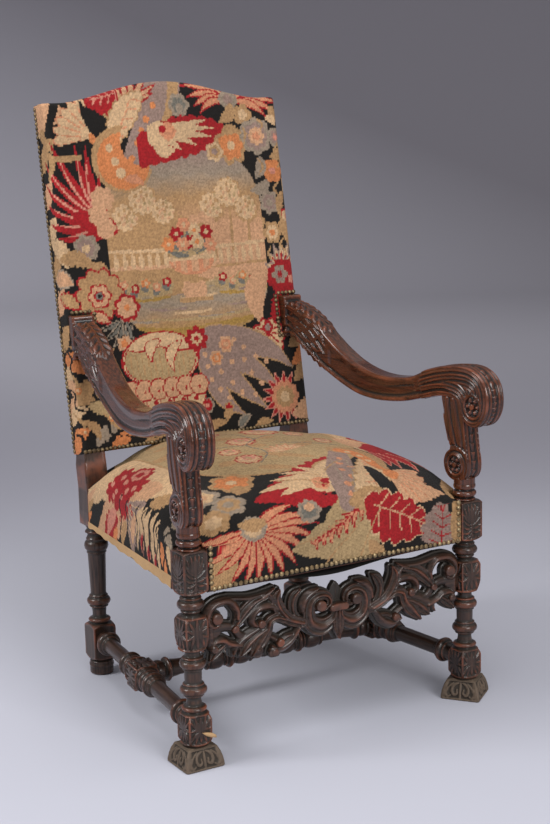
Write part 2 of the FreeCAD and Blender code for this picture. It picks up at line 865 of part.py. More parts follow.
def seat_form(inset, bottom):
    """Upright below, drawn in at the rim and crowned on top."""
    levels = [(0, bottom)] + [(draw, height - inset) for draw, height in seat_rim]
    loops = []
    for draw, height in levels:
        loops.append([Vector(x, y, height) for x, y in seat_plan(inset + draw)])
    crown_centre = Vector(0, middle_y, seat_crown_height - seat_crown_radius)
    crown = Part.makeSphere(seat_crown_radius - inset, crown_centre, ACROSS)
    return stacked(loops).common(crown)


def seat_posts():
    """Corner columns that the leg blocks and stiles take up, with the cloth's gap."""
    top = seat_crown_height + leg_block
    posts = []
    for x, y, outward in ((half_front, front_leg_y, -1), (half_back, back_leg_y, 1)):
        inner_x = x - half_block - cloth_gap
        inner_y = y - outward * (half_block + cloth_gap)
        outer_y = y + outward * leg_block
        post = box((inner_x, x + leg_block), (min(inner_y, outer_y), max(inner_y, outer_y)), (0, top))
        posts += [post, mirrored(post)]
    return posts


def seat_cover():
    shell = seat_form(0, seat_cover_bottom).cut(seat_form(cover_thickness, seat_cover_bottom - 1))
    hem = side_bar((front_leg_y, back_leg_y), (0, side_cover_bottom), -leg_block, leg_block + rail_setback)
    return shell.cut(seat_posts() + [hem, mirrored(hem)])


def seat_base():
    return rail_top + 2 * strap_thickness


def seat_stuffing():
    base = seat_base() + hessian_thickness + cloth_gap
    pad = seat_form(cover_thickness + cloth_gap, rail_bottom)
    above = seat_block(0, base, seat_crown_height)
    return pad.common(above).cut(seat_posts())


def seat_hessian():
    sheet = seat_block(rail_setback, seat_base(), seat_base() + hessian_thickness)
    return sheet.cut(seat_posts())


def strap_places(width, count):
    pitch = width / count
    return [(number - (count - 1) / 2) * pitch for number in range(count)]


def seat_webbing():
    inside = seat_block(rail_setback, rail_top, seat_base())
    width = 2 * (half_back - half_block)
    straps = []
    for place in strap_places(width, seat_straps):
        strap = box((place - strap_width / 2, place + strap_width / 2), (-seat_depth, seat_depth),
                    (rail_top, rail_top + strap_thickness))
        straps.append(strap.common(inside))
    for place in strap_places(seat_depth - leg_block, seat_straps):
        strap = box((-front_leg_spread, front_leg_spread),
                    (middle_y + place - strap_width / 2, middle_y + place + strap_width / 2),
                    (rail_top + strap_thickness, seat_base()))
        straps.append(strap.common(inside))
    return Part.makeCompound(straps)


def side_lining():
    """Strip of plain cloth on the side rail, showing below the needlepoint."""
    ends = (front_leg_y + half_block + cloth_gap, back_leg_y - half_block - cloth_gap)
    levels = (rail_bottom + cover_recess, side_cover_bottom - cloth_gap)
    return side_bar(ends, levels, rail_setback - lining_thickness, lining_thickness)


def dust_cloth():
    sheet = seat_block(rail_setback, rail_bottom - dust_cloth_thickness, rail_bottom)
    return sheet.cut(seat_posts())


# Upholstered back, made upright with the stiles' front face at Y=0, then leaned back
def leaned(shape):
    shape.rotate(ORIGIN, ACROSS, -back_rake)
    shape.translate(Vector(0, stile_front_y, rail_top))
    return shape


def back_outline(inset):
    half = panel_half_width - inset
    base = back_gap + inset
    shoulder = panel_shoulder - inset
    crest_edge = back_crest_half_width - inset
    neck_top = shoulder + back_neck_rise
    neck_foot = crest_edge + back_neck_width
    dip = (crest_edge + back_neck_dip[0], shoulder + back_neck_dip[1])
    right = [
        ((half, base), None),
        ((half, shoulder), None),
        ((neck_foot, shoulder), None),
        (dip, CREST),
        ((crest_edge, neck_top), None),
        ((0, panel_crest - inset), CREST),
    ]
    left = [((-place[0], place[1]), mark) for place, mark in right[-2::-1]]
    around = right + left + [right[0]]
    points = [(Vector(place[0], 0, place[1]), mark) for place, mark in around]
    return Part.Face(Part.Wire(outline_edges(points)))


def back_form(inset, rear):
    """Padded back with a crowned front, made smaller by inset, ending at rear."""
    front = back_edge_padding + back_crown
    face = back_outline(inset)
    face.translate(Vector(0, -front - leg_block, 0))
    block = face.extrude(Vector(0, front + leg_block + rear, 0))
    bow = (panel_half_width ** 2 + back_crown ** 2) / (2 * back_crown)
    crown = Part.makeCylinder(bow - inset, 2 * panel_crest, Vector(0, bow - front, 0))
    return block.common(crown)


def back_slab(inset, front, rear):
    face = back_outline(inset)
    face.translate(Vector(0, front, 0))
    return face.extrude(Vector(0, rear - front, 0))


def arm_windows():
    """Room that the upholstery leaves round the arms' rear ends."""
    half = arm_width_rear / 2 + 2 * frame_relief
    window = box((-half, half), (arm_length - leg_block * 2, arm_length + leg_block / 2),
                 (arm_rear_top - arm_rear_block - 4 * frame_relief, arm_rear_top + 4 * frame_relief))
    window = set_on_arm_line(window)
    return [window, mirrored(window)]


def back_cover():
    rear = stile_depth + outside_cloth_thickness
    shell = back_form(0, rear).cut(back_form(cover_thickness, rear + leg_block))
    stiles = [stile(cloth_gap), mirrored(stile(cloth_gap))]
    return leaned(shell).cut(stiles + arm_windows())


def back_stuffing():
    inset = cover_thickness + cloth_gap
    rear = -strap_thickness - hessian_thickness - cloth_gap
    ahead = back_slab(inset, -back_edge_padding - 2 * back_crown, rear)
    pad = back_form(inset, stile_depth).common(ahead)
    return leaned(pad).cut(arm_windows())


def back_hessian():
    inset = cover_thickness + cloth_gap + frame_relief
    sheet = back_slab(inset, -strap_thickness - hessian_thickness, -strap_thickness)
    return leaned(sheet).cut(arm_windows())


def back_webbing():
    inside = back_slab(cover_thickness + cloth_gap + frame_relief, -strap_thickness, 0)
    straps = []
    for place in strap_places(2 * (half_back - half_block), back_straps):
        sides = (place - strap_width / 2, place + strap_width / 2)
        strap = box(sides, (-leg_block, leg_block), (0, panel_crest))
        straps.append(leaned(strap.common(inside)))
    return Part.makeCompound(straps)


def outside_back():
    inset = cover_thickness + cloth_gap
    return leaned(back_slab(inset, stile_depth, stile_depth + outside_cloth_thickness))


# Rails of the back frame, tenoned between the stiles
def crest_levels():
    return (panel_shoulder - crest_rail_height, panel_shoulder - 2 * tenon_foot)


def bottom_levels():
    base = back_gap + cover_thickness + cloth_gap
    return (base, base + bottom_rail_height)


def back_rail_tenon(levels, grow):
    inner = half_back - half_block
    middle = back_rail_thickness / 2
    return leaned(box(
        (inner - grow, inner + tenon_length + grow),
        (middle - tenon_thickness / 2 - grow, middle + tenon_thickness / 2 + grow),
        (levels[0] + tenon_foot - grow, levels[1] - tenon_foot + grow),
    ))


def crest_tenon(grow):
    return back_rail_tenon(crest_levels(), grow)


def bottom_tenon(grow):
    return back_rail_tenon(bottom_levels(), grow)


def crest_rail():
    inner = half_back - half_block
    blank = box((-inner, inner), (0, back_rail_thickness), (crest_levels()[0], panel_crest))
    arched = blank.common(back_slab(cover_thickness + cloth_gap, 0, back_rail_thickness))
    return fused([leaned(arched), crest_tenon(0), mirrored(crest_tenon(0))])


def bottom_rail():
    inner = half_back - half_block
    rail = leaned(box((-inner, inner), (0, back_rail_thickness), bottom_levels()))
    return fused([rail, bottom_tenon(0), mirrored(bottom_tenon(0))])


# Every piece of the chair by name; paired pieces are made for the right and mirrored
def pairs():
    return {
        "front_leg": front_leg(),
        "back_leg": back_leg(arm_tenon(joint_clearance)),
        "arm_support": arm_support(),
        "arm": arm(),
        "side_seat_rail": side_rail(),
        "side_stretcher": side_stretcher(),
        "front_corner_block": front_corner_block(),
        "back_corner_block": back_corner_block(),
        "side_lining": side_lining(),
    }


def singles():
    return {
        "front_foot_right": front_foot(right_foot_twist),
        "front_foot_left": mirrored(front_foot(0)),
        "front_seat_rail": front_rail(),
        "back_seat_rail": back_rail(),
        "front_stretcher": front_stretcher(),
        "cross_stretcher": cross_stretcher(),
        "back_crest_rail": crest_rail(),
        "back_bottom_rail": bottom_rail(),
        "seat_webbing": seat_webbing(),
        "seat_hessian": seat_hessian(),
        "seat_stuffing": seat_stuffing(),
        "seat_cover": seat_cover(),
        "dust_cloth": dust_cloth(),
        "back_webbing": back_webbing(),
        "back_hessian": back_hessian(),
        "back_stuffing": back_stuffing(),
        "back_cover": back_cover(),
        "outside_back": outside_back(),
    }


def chair():
    pieces = singles()
    for name, shape in pairs().items():
        pieces[name + "_right"] = shape
        pieces[name + "_left"] = mirrored(shape)
    return pieces


os.makedirs("parts", exist_ok=True)
for node, piece in chair().items():
    piece.exportStep("parts/" + node + ".step")
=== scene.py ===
import math
from functools import partial

import bpy
import numpy as np
from bpy.props import FloatProperty, FloatVectorProperty, PointerProperty
from bpy.types import Operator, Panel, PropertyGroup
from mathutils import Matrix, Vector


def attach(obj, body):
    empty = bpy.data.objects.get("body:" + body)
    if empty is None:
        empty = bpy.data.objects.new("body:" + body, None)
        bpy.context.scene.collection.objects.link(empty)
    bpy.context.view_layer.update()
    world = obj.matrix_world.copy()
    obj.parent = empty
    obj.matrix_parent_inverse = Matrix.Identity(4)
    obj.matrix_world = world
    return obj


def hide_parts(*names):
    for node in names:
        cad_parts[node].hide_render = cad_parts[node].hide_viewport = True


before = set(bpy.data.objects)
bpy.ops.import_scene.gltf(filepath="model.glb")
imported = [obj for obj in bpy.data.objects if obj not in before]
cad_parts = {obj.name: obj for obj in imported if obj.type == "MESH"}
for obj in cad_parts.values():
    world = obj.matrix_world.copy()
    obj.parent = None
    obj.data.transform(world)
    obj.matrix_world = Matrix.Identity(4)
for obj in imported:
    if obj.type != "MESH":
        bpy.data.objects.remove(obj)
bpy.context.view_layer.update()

bl_info = {
    "name": "Carved Armchair",
    "version": (1, 0, 0),
    "blender": (4, 5, 0),
    "location": "View3D > Sidebar > Armchair",
    "description": "Carved walnut armchair with a needlepoint seat and back",
    "category": "Add Mesh",
}

# Lines that the solids also follow, in millimetres
FRONT_X, FRONT_Y = 300.0, -298.0
BACK_X, BACK_Y = 241.0, 226.0
HALF_BLOCK = 24.3
RAIL_BOTTOM, RAIL_TOP = 318.8, 396.7
STRETCHER_Z, CROSS_Y = 77.0, -24.7
RAKE = math.radians(9.8)
STILE_FRONT = BACK_Y - HALF_BLOCK
ARM_TOE = math.radians(6.025)
SIDE_TOE = math.atan2(FRONT_X - BACK_X, BACK_Y - FRONT_Y)
SIDE_LENGTH = math.hypot(FRONT_X - BACK_X, BACK_Y - FRONT_Y)
PANEL_HALF = 267.8
PANEL_BASE, PANEL_SHOULDER, PANEL_RISE, PANEL_REAR = 72.0, 704.0, 39.0, 41.0
SEAT_FRONT, SEAT_REAR, SEAT_CROWN = -320.3, 248.3, 486.0


def linear(colour):
    """An sRGB hex colour as linear red, green and blue."""
    parts = [int(colour[i:i + 2], 16) / 255 for i in (1, 3, 5)]
    return tuple(p / 12.92 if p <= 0.04045 else ((p + 0.055) / 1.055) ** 2.4 for p in parts)


def mixed(one, other, share):
    """A colour part of the way from one to another."""
    return tuple(a + (b - a) * share for a, b in zip(one, other))


def hue(name, description, colour):
    """A colour that the user may change."""
    return FloatVectorProperty(
        name=name, description=description, subtype="COLOR", size=3, min=0, max=1, default=linear(colour)
    )


def length(name, description, millimetres):
    """A size that the user may change."""
    return FloatProperty(name=name, description=description, unit="LENGTH", min=0, default=millimetres / 1000)


class WoodColours(PropertyGroup):
    """Walnut, its wear and its dust, with a painted highlight on its ridges and painted shade in its hollows."""
    heart: hue("Heartwood", "Darkest streaks of the walnut", "#26130b")
    streak: hue("Streaks", "Paler streaks of the walnut", "#683722")
    # The rubbed colour on the ridges is also a painted highlight
    worn: hue("Worn edges", "Ridges rubbed through to redder wood", "#82462e")
    # Colour of the hollows: old wax with painted shade
    wax: hue("Wax", "Old dark wax in the hollows", "#0e0a08")
    dust: hue("Dust", "Grey dust in the low carving", "#3b342d")
    foot: hue("Feet", "Dry grey wood of the feet", "#665648")


class WoolColours(PropertyGroup):
    """Wools of the needlepoint."""
    black: hue("Black", "Ground of the borders", "#161311")
    camel: hue("Camel", "Leaves of the borders", "#b0895f")
    cream: hue("Cream", "Palest wool", "#ceaa82")
    peach: hue("Peach", "Palmettes", "#ca9a75")
    salmon: hue("Salmon", "Feathered fans", "#cd8a66")
    orange: hue("Orange", "Crescent and flowers", "#cf804e")
    red: hue("Red", "Scalloped leaf and feathers", "#a01a20")
    pink: hue("Pink", "Veins and stripes", "#cb8570")
    mauve: hue("Mauve", "Spotted leaf", "#967c70")
    grey: hue("Grey", "Flowers and leaves", "#998774")
    blue: hue("Grey blue", "Cool flowers and water", "#746f65")
    olive: hue("Olive", "Faded middle of the seat", "#ae9269")
    ochre: hue("Ochre", "Garden ground", "#a58244")


class ChairSizes(PropertyGroup):
    """Sizes of the soft and small work."""
    stitch: length("Stitch", "Spacing of the stitches", 2.8)
    nail: length("Nail width", "Width of a domed nail", 9.6)
    nail_spacing: length("Nail spacing", "Distance from nail to nail", 10.6)
    seat_swell: length("Seat swell", "Most that the stuffing lifts the seat cloth", 14.0)
    back_swell: length("Back swell", "Most that the stuffing lifts the back cloth", 9.0)


def clamp(values):
    """Values held between 0 and 1."""
    return np.clip(values, 0, 1)


# General mesh work
def add_piece(name, points, faces, material, slot, nodes=(), **layers):
    """Make a piece from points in millimetres, with one value per point in each layer."""
    mesh = bpy.data.meshes.new(name)
    mesh.from_pydata(np.asarray(points) / 1000, [], faces if isinstance(faces, list) else faces.tolist())
    mesh.shade_smooth()
    mesh.materials.append(material)
    for label, values in layers.items():
        values = np.asarray(values, np.float32)
        if values.ndim == 1:
            mesh.attributes.new(label, "FLOAT", "POINT").data.foreach_set("value", values)
        elif values.shape[1] == 4:
            mesh.attributes.new(label, "FLOAT_COLOR", "POINT").data.foreach_set("color", values.ravel())
        else:
            mesh.attributes.new(label, "FLOAT_VECTOR", "POINT").data.foreach_set("vector", values.ravel())
    piece = bpy.data.objects.new(name, mesh)
    bpy.context.scene.collection.objects.link(piece)
    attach(piece, "root")
    if nodes:
        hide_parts(*nodes)
    return piece


def grid_faces(rows, columns, closed=False):
    """Quads between neighbouring rows of points; closed joins the last column to the first."""
    row, column = np.mgrid[0:rows - 1, 0:columns if closed else columns - 1]
    after = (column + 1) % columns
    here, next_row = row * columns, (row + 1) * columns
    return np.stack([quad.ravel() for quad in (here + column, here + after, next_row + after, next_row + column)], 1)


def grid_points(x, y, z):
    """Points of a grid, row by row; a value may be shared by a whole row or column."""
    return np.stack(np.broadcast_arrays(x, y, z), 2).reshape(-1, 3)


def mirror(points, faces):
    """The same work for the other side of the chair."""
    return points * (-1, 1, 1), faces[:, ::-1]


def moved(work, offset):
    """A (points, faces, hollow, grain) set carried to its place."""
    return (work[0] + offset, *work[1:])


def join(*parts):
    """Several (points, faces, hollow, grain) sets as one."""
    start = np.cumsum([0] + [len(part[0]) for part in parts])
    faces = [part[1] + first for part, first in zip(parts, start)]
    points, hollow, grain = (np.concatenate([part[k] for part in parts]) for k in (0, 2, 3))
    return points, np.concatenate(faces), hollow, grain


def blurred(values, reach):
    """Mean over a box of neighbours, which shows where a surface is hollow or proud."""
    width = 2 * reach + 1
    for axis in range(values.ndim):
        size = values.shape[axis]
        before = np.repeat(values.take([0], axis), reach + 1, axis)
        after = np.repeat(values.take([-1], axis), reach, axis)
        sums = np.concatenate([before, values, after], axis).cumsum(axis)
        values = (sums.take(range(width, width + size), axis) - sums.take(range(size), axis)) / width
    return values


def skin(solid, start, step):
    """Quads over the solid where a field of (across, along, up) values falls below zero."""
    inside = solid < 0
    shape = np.array(solid.shape) - 1
    count = np.zeros(shape, np.int8)
    for corner in np.ndindex(2, 2, 2):
        count += inside[tuple(slice(c, c + n) for c, n in zip(corner, shape))]
    crossed = (count > 0) & (count < 8)
    cells = np.argwhere(crossed)
    number = np.full(shape, -1)
    number[crossed] = np.arange(len(cells))
    total = np.zeros((len(cells), 3))
    hits = np.zeros((len(cells), 1))
    for axis in range(3):
        others = [other for other in range(3) if other != axis]
        for shift in np.ndindex(2, 2):
            low = cells.copy()
            low[:, others] += shift
            high = low.copy()
            high[:, axis] += 1
            near = solid[tuple(low.T)]
            far = solid[tuple(high.T)]
            cut = (near < 0) != (far < 0)
            share = np.where(cut, near / np.where(cut, near - far, 1), 0)
            place = low.astype(float)
            place[:, axis] += share
            total += place * cut[:, None]
            hits += cut[:, None]
    sheets = []
    for axis, one, two in ((0, 1, 2), (1, 2, 0), (2, 0, 1)):
        near = inside.take(range(shape[axis]), axis)
        far = inside.take(range(1, shape[axis] + 1), axis)
        edges = np.argwhere(near != far)
        fits = (edges[:, [one, two]] > 0).all(1) & (edges[:, [one, two]] < shape[[one, two]]).all(1)
        edges = edges[fits]
        corners = []
        for shift in ((0, 0), (1, 0), (1, 1), (0, 1)):
            cell = edges.copy()
            cell[:, [one, two]] -= shift
            corners.append(number[tuple(cell.T)])
        quads = np.stack(corners, 1)
        inward = ~near[tuple(edges.T)]
        quads[inward] = quads[inward, ::-1]
        sheets.append(quads)
    lattice = total / hits
    # The field less its mean over the cells around is high in a hollow and low on a ridge
    feel, around, full_hollow = 6, 4, 1.8
    near = np.clip(solid, -feel, feel)
    hollow = (near - blurred(near, around))[tuple(np.rint(lattice).astype(int).T)] / full_hollow
    return lattice * step + start, np.concatenate(sheets), np.clip(hollow, -1, 1)


# Lines drawn by the carver
def smooth_line(points, widths, steps=5):
    """Points and widths along a smooth curve through the given ones; one width may serve for all."""
    marks = np.column_stack([np.asarray(points, float), np.broadcast_to(widths, len(points)).astype(float)])
    ends = np.vstack([2 * marks[0] - marks[1], marks, 2 * marks[-1] - marks[-2]])
    line = []
    for a, b, c, d in zip(ends, ends[1:], ends[2:], ends[3:]):
        for t in np.arange(steps) / steps:
            line.append(0.5 * (2 * b + (c - a) * t + (2 * a - 5 * b + 4 * c - d) * t ** 2
                               + (3 * b - a - 3 * c + d) * t ** 3))
    line.append(marks[-1])
    return np.array(line)


def from_segment(x, z, start, end):
    """How far along a straight line its nearest place is, as a share, and the way from there to each point."""
    run_x, run_z = end[0] - start[0], end[1] - start[1]
    share = clamp(((x - start[0]) * run_x + (z - start[1]) * run_z) / max(run_x ** 2 + run_z ** 2, 1e-9))
    return share, x - start[0] - share * run_x, z - start[1] - share * run_z


def stroke(across, up, points, widths, reach=1.7):
    """Where a drawn line passes over a grid: rows, columns and the distance from it in half widths."""
    least_width = 0.6
    line = smooth_line(points, widths)
    line[:, 2] = np.maximum(line[:, 2], least_width)
    margin = reach * line[:, 2].max()
    columns = slice(*np.searchsorted(across, (line[:, 0].min() - margin, line[:, 0].max() + margin)))
    rows = slice(*np.searchsorted(up, (line[:, 1].min() - margin, line[:, 1].max() + margin)))
    x = across[columns][None, :]
    z = up[rows][:, None]
    best = np.full((z.size, x.size), 9.0)
    for a, b in zip(line, line[1:]):
        share, dx, dz = from_segment(x, z, a, b)
        away = np.sqrt(dx * dx + dz * dz) / (a[2] + (b[2] - a[2]) * share)
        away = np.where((b[0] - a[0]) * dz - (b[1] - a[1]) * dx < 0, -away, away)
        best = np.where(np.abs(away) < np.abs(best), away, best)
    return rows, columns, best


def relief(across, up, strokes, vein=0.25):
    """Height from 0 to 1 of rounded leaves, each with a vein cut down its middle."""
    vein_width = 0.22
    height = np.zeros((len(up), len(across)))
    for points, widths in strokes:
        rows, columns, away = stroke(across, up, points, widths)
        leaf = np.sqrt(clamp(1 - away ** 2)) * (1 - vein * np.exp(-(away / vein_width) ** 2))
        height[rows, columns] = np.maximum(height[rows, columns], leaf)
    return height


def both_sides(leaves):
    """Strokes for leaves that are listed under their half widths, to the right and again to the left."""
    right = [(points, widths) for widths, lines in leaves.items() for points in lines]
    return right + [([(-x, z) for x, z in points], widths) for points, widths in right if points[-1][0]]


def outline_distance(along, up, points):
    """Distance from a closed outline, negative inside it."""
    line = smooth_line([*points, points[0]], 1, 6)
    x = along[None, :]
    z = up[:, None]
    best = np.full((len(up), len(along)), 1e9)
    within = np.zeros(best.shape, bool)
    for (ax, az, _), (bx, bz, _) in zip(line, line[1:]):
        _, dx, dz = from_segment(x, z, (ax, az), (bx, bz))
        best = np.minimum(best, dx ** 2 + dz ** 2)
        if az != bz:
            within ^= ((az > z) != (bz > z)) & (x < ax + (bx - ax) * (z - az) / (bz - az))
    return np.where(within, -1, 1) * np.sqrt(best)


# Turned work
TURNS = np.radians(np.arange(0, 360, 2.5))
# Of each turn, the angle from the middle of the nearest face of a square block
FACE_ANGLE = (TURNS + math.pi / 4) % (math.pi / 2) - math.pi / 4


def turning(levels, plain, beads):
    """Radii of a turned member: straight runs between (level, radius), and (level, crest, foot, rise) beads."""
    radius = np.interp(levels, *zip(*plain))
    for centre, crest, foot, rise in beads:
        share = np.sqrt(clamp(1 - ((levels - centre) / rise) ** 2))
        radius = np.where(share > 0, np.maximum(radius, foot + (crest - foot) * share), radius)
    return np.repeat(radius[:, None], len(TURNS), 1)


def face_relief(half, up, strokes):
    """Height of leaves carved alike on a block's four faces, and how far each turn is from a face's middle."""
    flat = half * np.tan(FACE_ANGLE)
    order = np.argsort(flat, kind="stable")
    height = np.zeros((len(up), len(flat)))
    height[:, order] = relief(flat[order], up, strokes)
    return height, np.abs(flat)


def blocked(levels, radii, bottom, top, half, strokes, depth, taper=(8.0, 8.0), corner=9.5):
    """Leave a square block on a turned member, with leaves carved in sunk panels on its four faces."""
    side_border, end_border, bevel = 2.6, 3.0, 1.6
    inside = (levels >= bottom) & (levels <= top)
    up = levels[inside]
    ends = np.minimum((up - bottom) / taper[0], (top - up) / taper[1])
    cap = half + 0.3 + corner * np.sin(clamp(ends) * math.pi / 2)
    square = np.minimum(half / np.cos(FACE_ANGLE), cap[:, None])
    height, flat = face_relief(half, up - bottom, strokes)
    margin = np.minimum(half - side_border - flat, np.minimum(up - bottom, top - up)[:, None] - end_border)
    sunk = clamp(margin / bevel)
    radii = radii.copy()
    radii[inside] = np.maximum(square - sunk * depth * (1 - height) / np.cos(FACE_ANGLE), radii[inside] * 0.6)
    return radii


def lathe(levels, radii, centre=None):
    """Points, faces, hollow and grain of a member turned about the up axis."""
    count, around, full_hollow = len(TURNS), 5, 2.2
    tip = np.full_like(TURNS, 0.4)
    closed = np.vstack([tip, radii, tip])
    heights = np.repeat(np.array([levels[0], *levels, levels[-1]])[:, None], count, 1)
    x = closed * np.cos(TURNS)
    y = closed * np.sin(TURNS)
    if centre is not None:
        y = y + np.array([centre[0], *centre, centre[-1]])[:, None]
    hollow = np.zeros_like(heights)
    hollow[1:-1] = blurred(np.hstack([radii] * 3), around)[:, count:2 * count] - radii
    faces = grid_faces(len(heights), count, True)
    return grid_points(x, y, heights), faces, np.clip(hollow.ravel() / full_hollow, -1, 1), grid_points(heights, x, y)


def laid(work, start, direction):
    """Lay a member that was turned upright along a level line from a start point."""
    points, faces, hollow, grain = work
    sine, cosine = direction
    x, y, z = points.T
    level = np.stack([start[0] + z * sine + x * cosine, start[1] + z * cosine - x * sine, start[2] - y], 1)
    return level, faces[:, ::-1], hollow, grain


# Leaves on the blocks: half widths, then points in millimetres from the middle of the block's foot
SEAT_BLOCK_LEAVES = both_sides({
    (2, 4, 1): [((0, 42), (0, 58), (0, 73))],
    (1.6, 3.4, 1): [((1, 40), (6, 56), (9, 71)), ((1, 38), (11, 50), (17, 65))],
    (1.6, 3.2, 1): [((1, 34), (12, 42), (20, 54))],
    (1.6, 3, 1): [((1, 29), (11, 33), (20, 41)), ((1, 24), (11, 24), (20, 28)), ((1, 20), (9, 15), (20, 16))],
    (1.6, 2.6, 1): [((1, 14), (6, 7), (16, 6))],
    (2.4, 1.8, 2): [((0, 5), (0, 24), (0, 44))],
})
VASE_BLOCK_LEAVES = both_sides({
    (2, 4.6, 1): [((0, 34), (0, 47), (0, 58)), ((0, 30), (0, 17), (0, 5))],
    (2, 4, 1): [((2, 35), (10, 44), (16, 56)), ((2, 30), (10, 20), (14, 7))],
    (2, 3.6, 1): [((3, 33), (12, 36), (21, 42)), ((3, 31), (12, 27), (21, 24))],
    4.5: [((0, 31), (0, 34))],
})
LOW_BLOCK_LEAVES = both_sides({
    (2, 4, 1): [((0, 33), (0, 44), (0, 53)), ((0, 25), (0, 15), (0, 5))],
    (1.8, 3.4, 1): [((2, 34), (8, 42), (11, 53)), ((2, 25), (8, 16), (12, 5)), ((3, 29), (12, 30), (21, 29))],
    (1.8, 3.6, 1): [((3, 32), (13, 38), (20, 47)), ((3, 26), (13, 20), (20, 11))],
    4.5: [((0, 28), (0, 30))],
})
FOOT_LEAVES = both_sides({
    (2, 3.4, 2): [((0, 35), (0, 20), (0, 4))],
    (2, 3.4, 3.6, 3.2, 2.6, 2): [((5, 33), (14, 30), (19, 21), (14, 11), (7, 13), (8, 20))],
    (2, 3, 3.6, 3, 2): [((18, 33), (26, 26), (31, 14), (26, 6), (20, 9))],
})
CENTRE_BLOCK_LEAVES = both_sides({
    (2, 4.4, 1): [((0, 34), (0, 46), (0, 57)), ((0, 26), (0, 14), (0, 3))],
    (1.8, 3.6, 1): [((2, 34), (9, 42), (12, 55)), ((2, 26), (9, 18), (12, 5)),
                    ((3, 32), (13, 38), (19, 49)), ((3, 28), (13, 22), (19, 11))],
    (1.8, 3.4, 1): [((3, 30), (12, 30), (20, 30))],
    5: [((0, 29), (0, 31))],
})


def front_leg():
    """Foot neck, carved low block, rings and shaft, carved vase block, ring and carved seat block."""
    levels = np.concatenate([np.arange(37, 318, 1.2), np.arange(RAIL_BOTTOM, RAIL_TOP + 0.1, 1.2)])
    plain = ((37, 22.8), (40.5, 22.8), (41, 20), (98, 20), (101, 17.5), (112, 15), (122, 13), (128, 14), (132, 17.5),
             (149, 17.5), (153, 15.5), (164, 15.8), (176, 15.8), (180, 17.5), (198, 17.5), (203, 14), (214, 13.5),
             (280, 14), (288, 17), (306, 17.5), (312, 15), (318, 21), (397, 21))
    beads = ((105.8, 22.8, 18, 4.5), (140.2, 24.4, 17.5, 7.5), (150.6, 19.5, 16, 2.4), (130.4, 19, 16, 2.2),
             (188.4, 24.0, 17.5, 7.5), (199.4, 19.5, 15, 2.4), (178.4, 18.6, 15, 2), (297.5, 24.6, 17, 8),
             (285.6, 18.6, 14, 2.4), (309.4, 19.8, 15, 2.4))
    radii = turning(levels, plain, beads)
    radii = blocked(levels, radii, 40.4, 98, HALF_BLOCK, LOW_BLOCK_LEAVES, 3.4, (10, 14), 7.5)
    radii = blocked(levels, radii, 215, 277, HALF_BLOCK, VASE_BLOCK_LEAVES, 3.4, (26, 10), 6.5)
    radii = blocked(levels, radii, RAIL_BOTTOM, RAIL_TOP, HALF_BLOCK, SEAT_BLOCK_LEAVES, 3.2, (7, 5))
    return lathe(levels, radii)


def front_foot():
    """A bulging block that spreads to the floor, carved with hanging leaves."""
    levels = np.arange(0, 37.3, 0.9)
    half = np.interp(levels, (0, 1.5, 8, 18, 28, 37), (37.5, 39, 38.6, 36.6, 33.5, 29))
    corner, widest, depth = 1.36, 39, 3.8
    square = np.minimum(half[:, None] / np.cos(FACE_ANGLE), half[:, None] * corner)
    height, flat = face_relief(widest, levels, FOOT_LEAVES)
    sunk = clamp(np.minimum(levels - 3, 36 - levels) / 2)[:, None] * clamp((34 - flat) / 2)
    return lathe(levels, square - depth * sunk * (1 - height))


def back_leg():
    """Turned foot, block and rings below the seat, and a square raked stile above it."""
    levels = np.concatenate([np.arange(0, 318, 1.2), np.arange(RAIL_BOTTOM, 1155, 6.0)])
    plain = ((0, 21), (3, 24), (28, 24), (33, 18), (108, 18), (112, 17), (126, 14), (140, 15), (146, 18), (166, 18),
             (172, 16), (182, 16.2), (240, 18), (256, 18.5), (262, 20), (288, 20), (296, 17), (310, 18), (318, 21),
             (1155, 18))
    beads = ((20, 25.5, 22, 5), (115.8, 22.8, 17, 4.5), (156, 24.2, 17, 8), (167, 19.5, 15, 2.4),
             (145, 19.5, 15, 2.4), (273.8, 24.6, 19, 10), (288, 20.5, 16, 2.6), (259.5, 20.5, 17, 2.4),
             (303, 22, 16, 4))
    radii = turning(levels, plain, beads)
    radii = blocked(levels, radii, 33, 108, HALF_BLOCK, [], 0.0)
    stile = levels >= RAIL_BOTTOM
    thin = np.where(np.abs(np.cos(TURNS)) < np.abs(np.sin(TURNS)), 19.4, HALF_BLOCK - 1.5)
    below = clamp((RAIL_TOP + 60 - levels[stile]) / 20)[:, None]
    half = thin + below * (HALF_BLOCK - thin)
    radii[stile] = np.minimum(half / np.cos(FACE_ANGLE), half + 8.5)
    lean = np.where(levels > RAIL_TOP, (levels - RAIL_TOP) * math.tan(RAKE), 0)
    points, faces, hollow, grain = lathe(levels, radii, lean - 3.5 * clamp((levels - RAIL_TOP - 40) / 20))
    # The stile has no hollows and takes the rubbed colour all over, which is in part a painted highlight
    rubbed = 0.85
    return points, faces, np.where(points[:, 2] > RAIL_TOP - 4, np.minimum(hollow, 0) - rubbed, hollow), grain


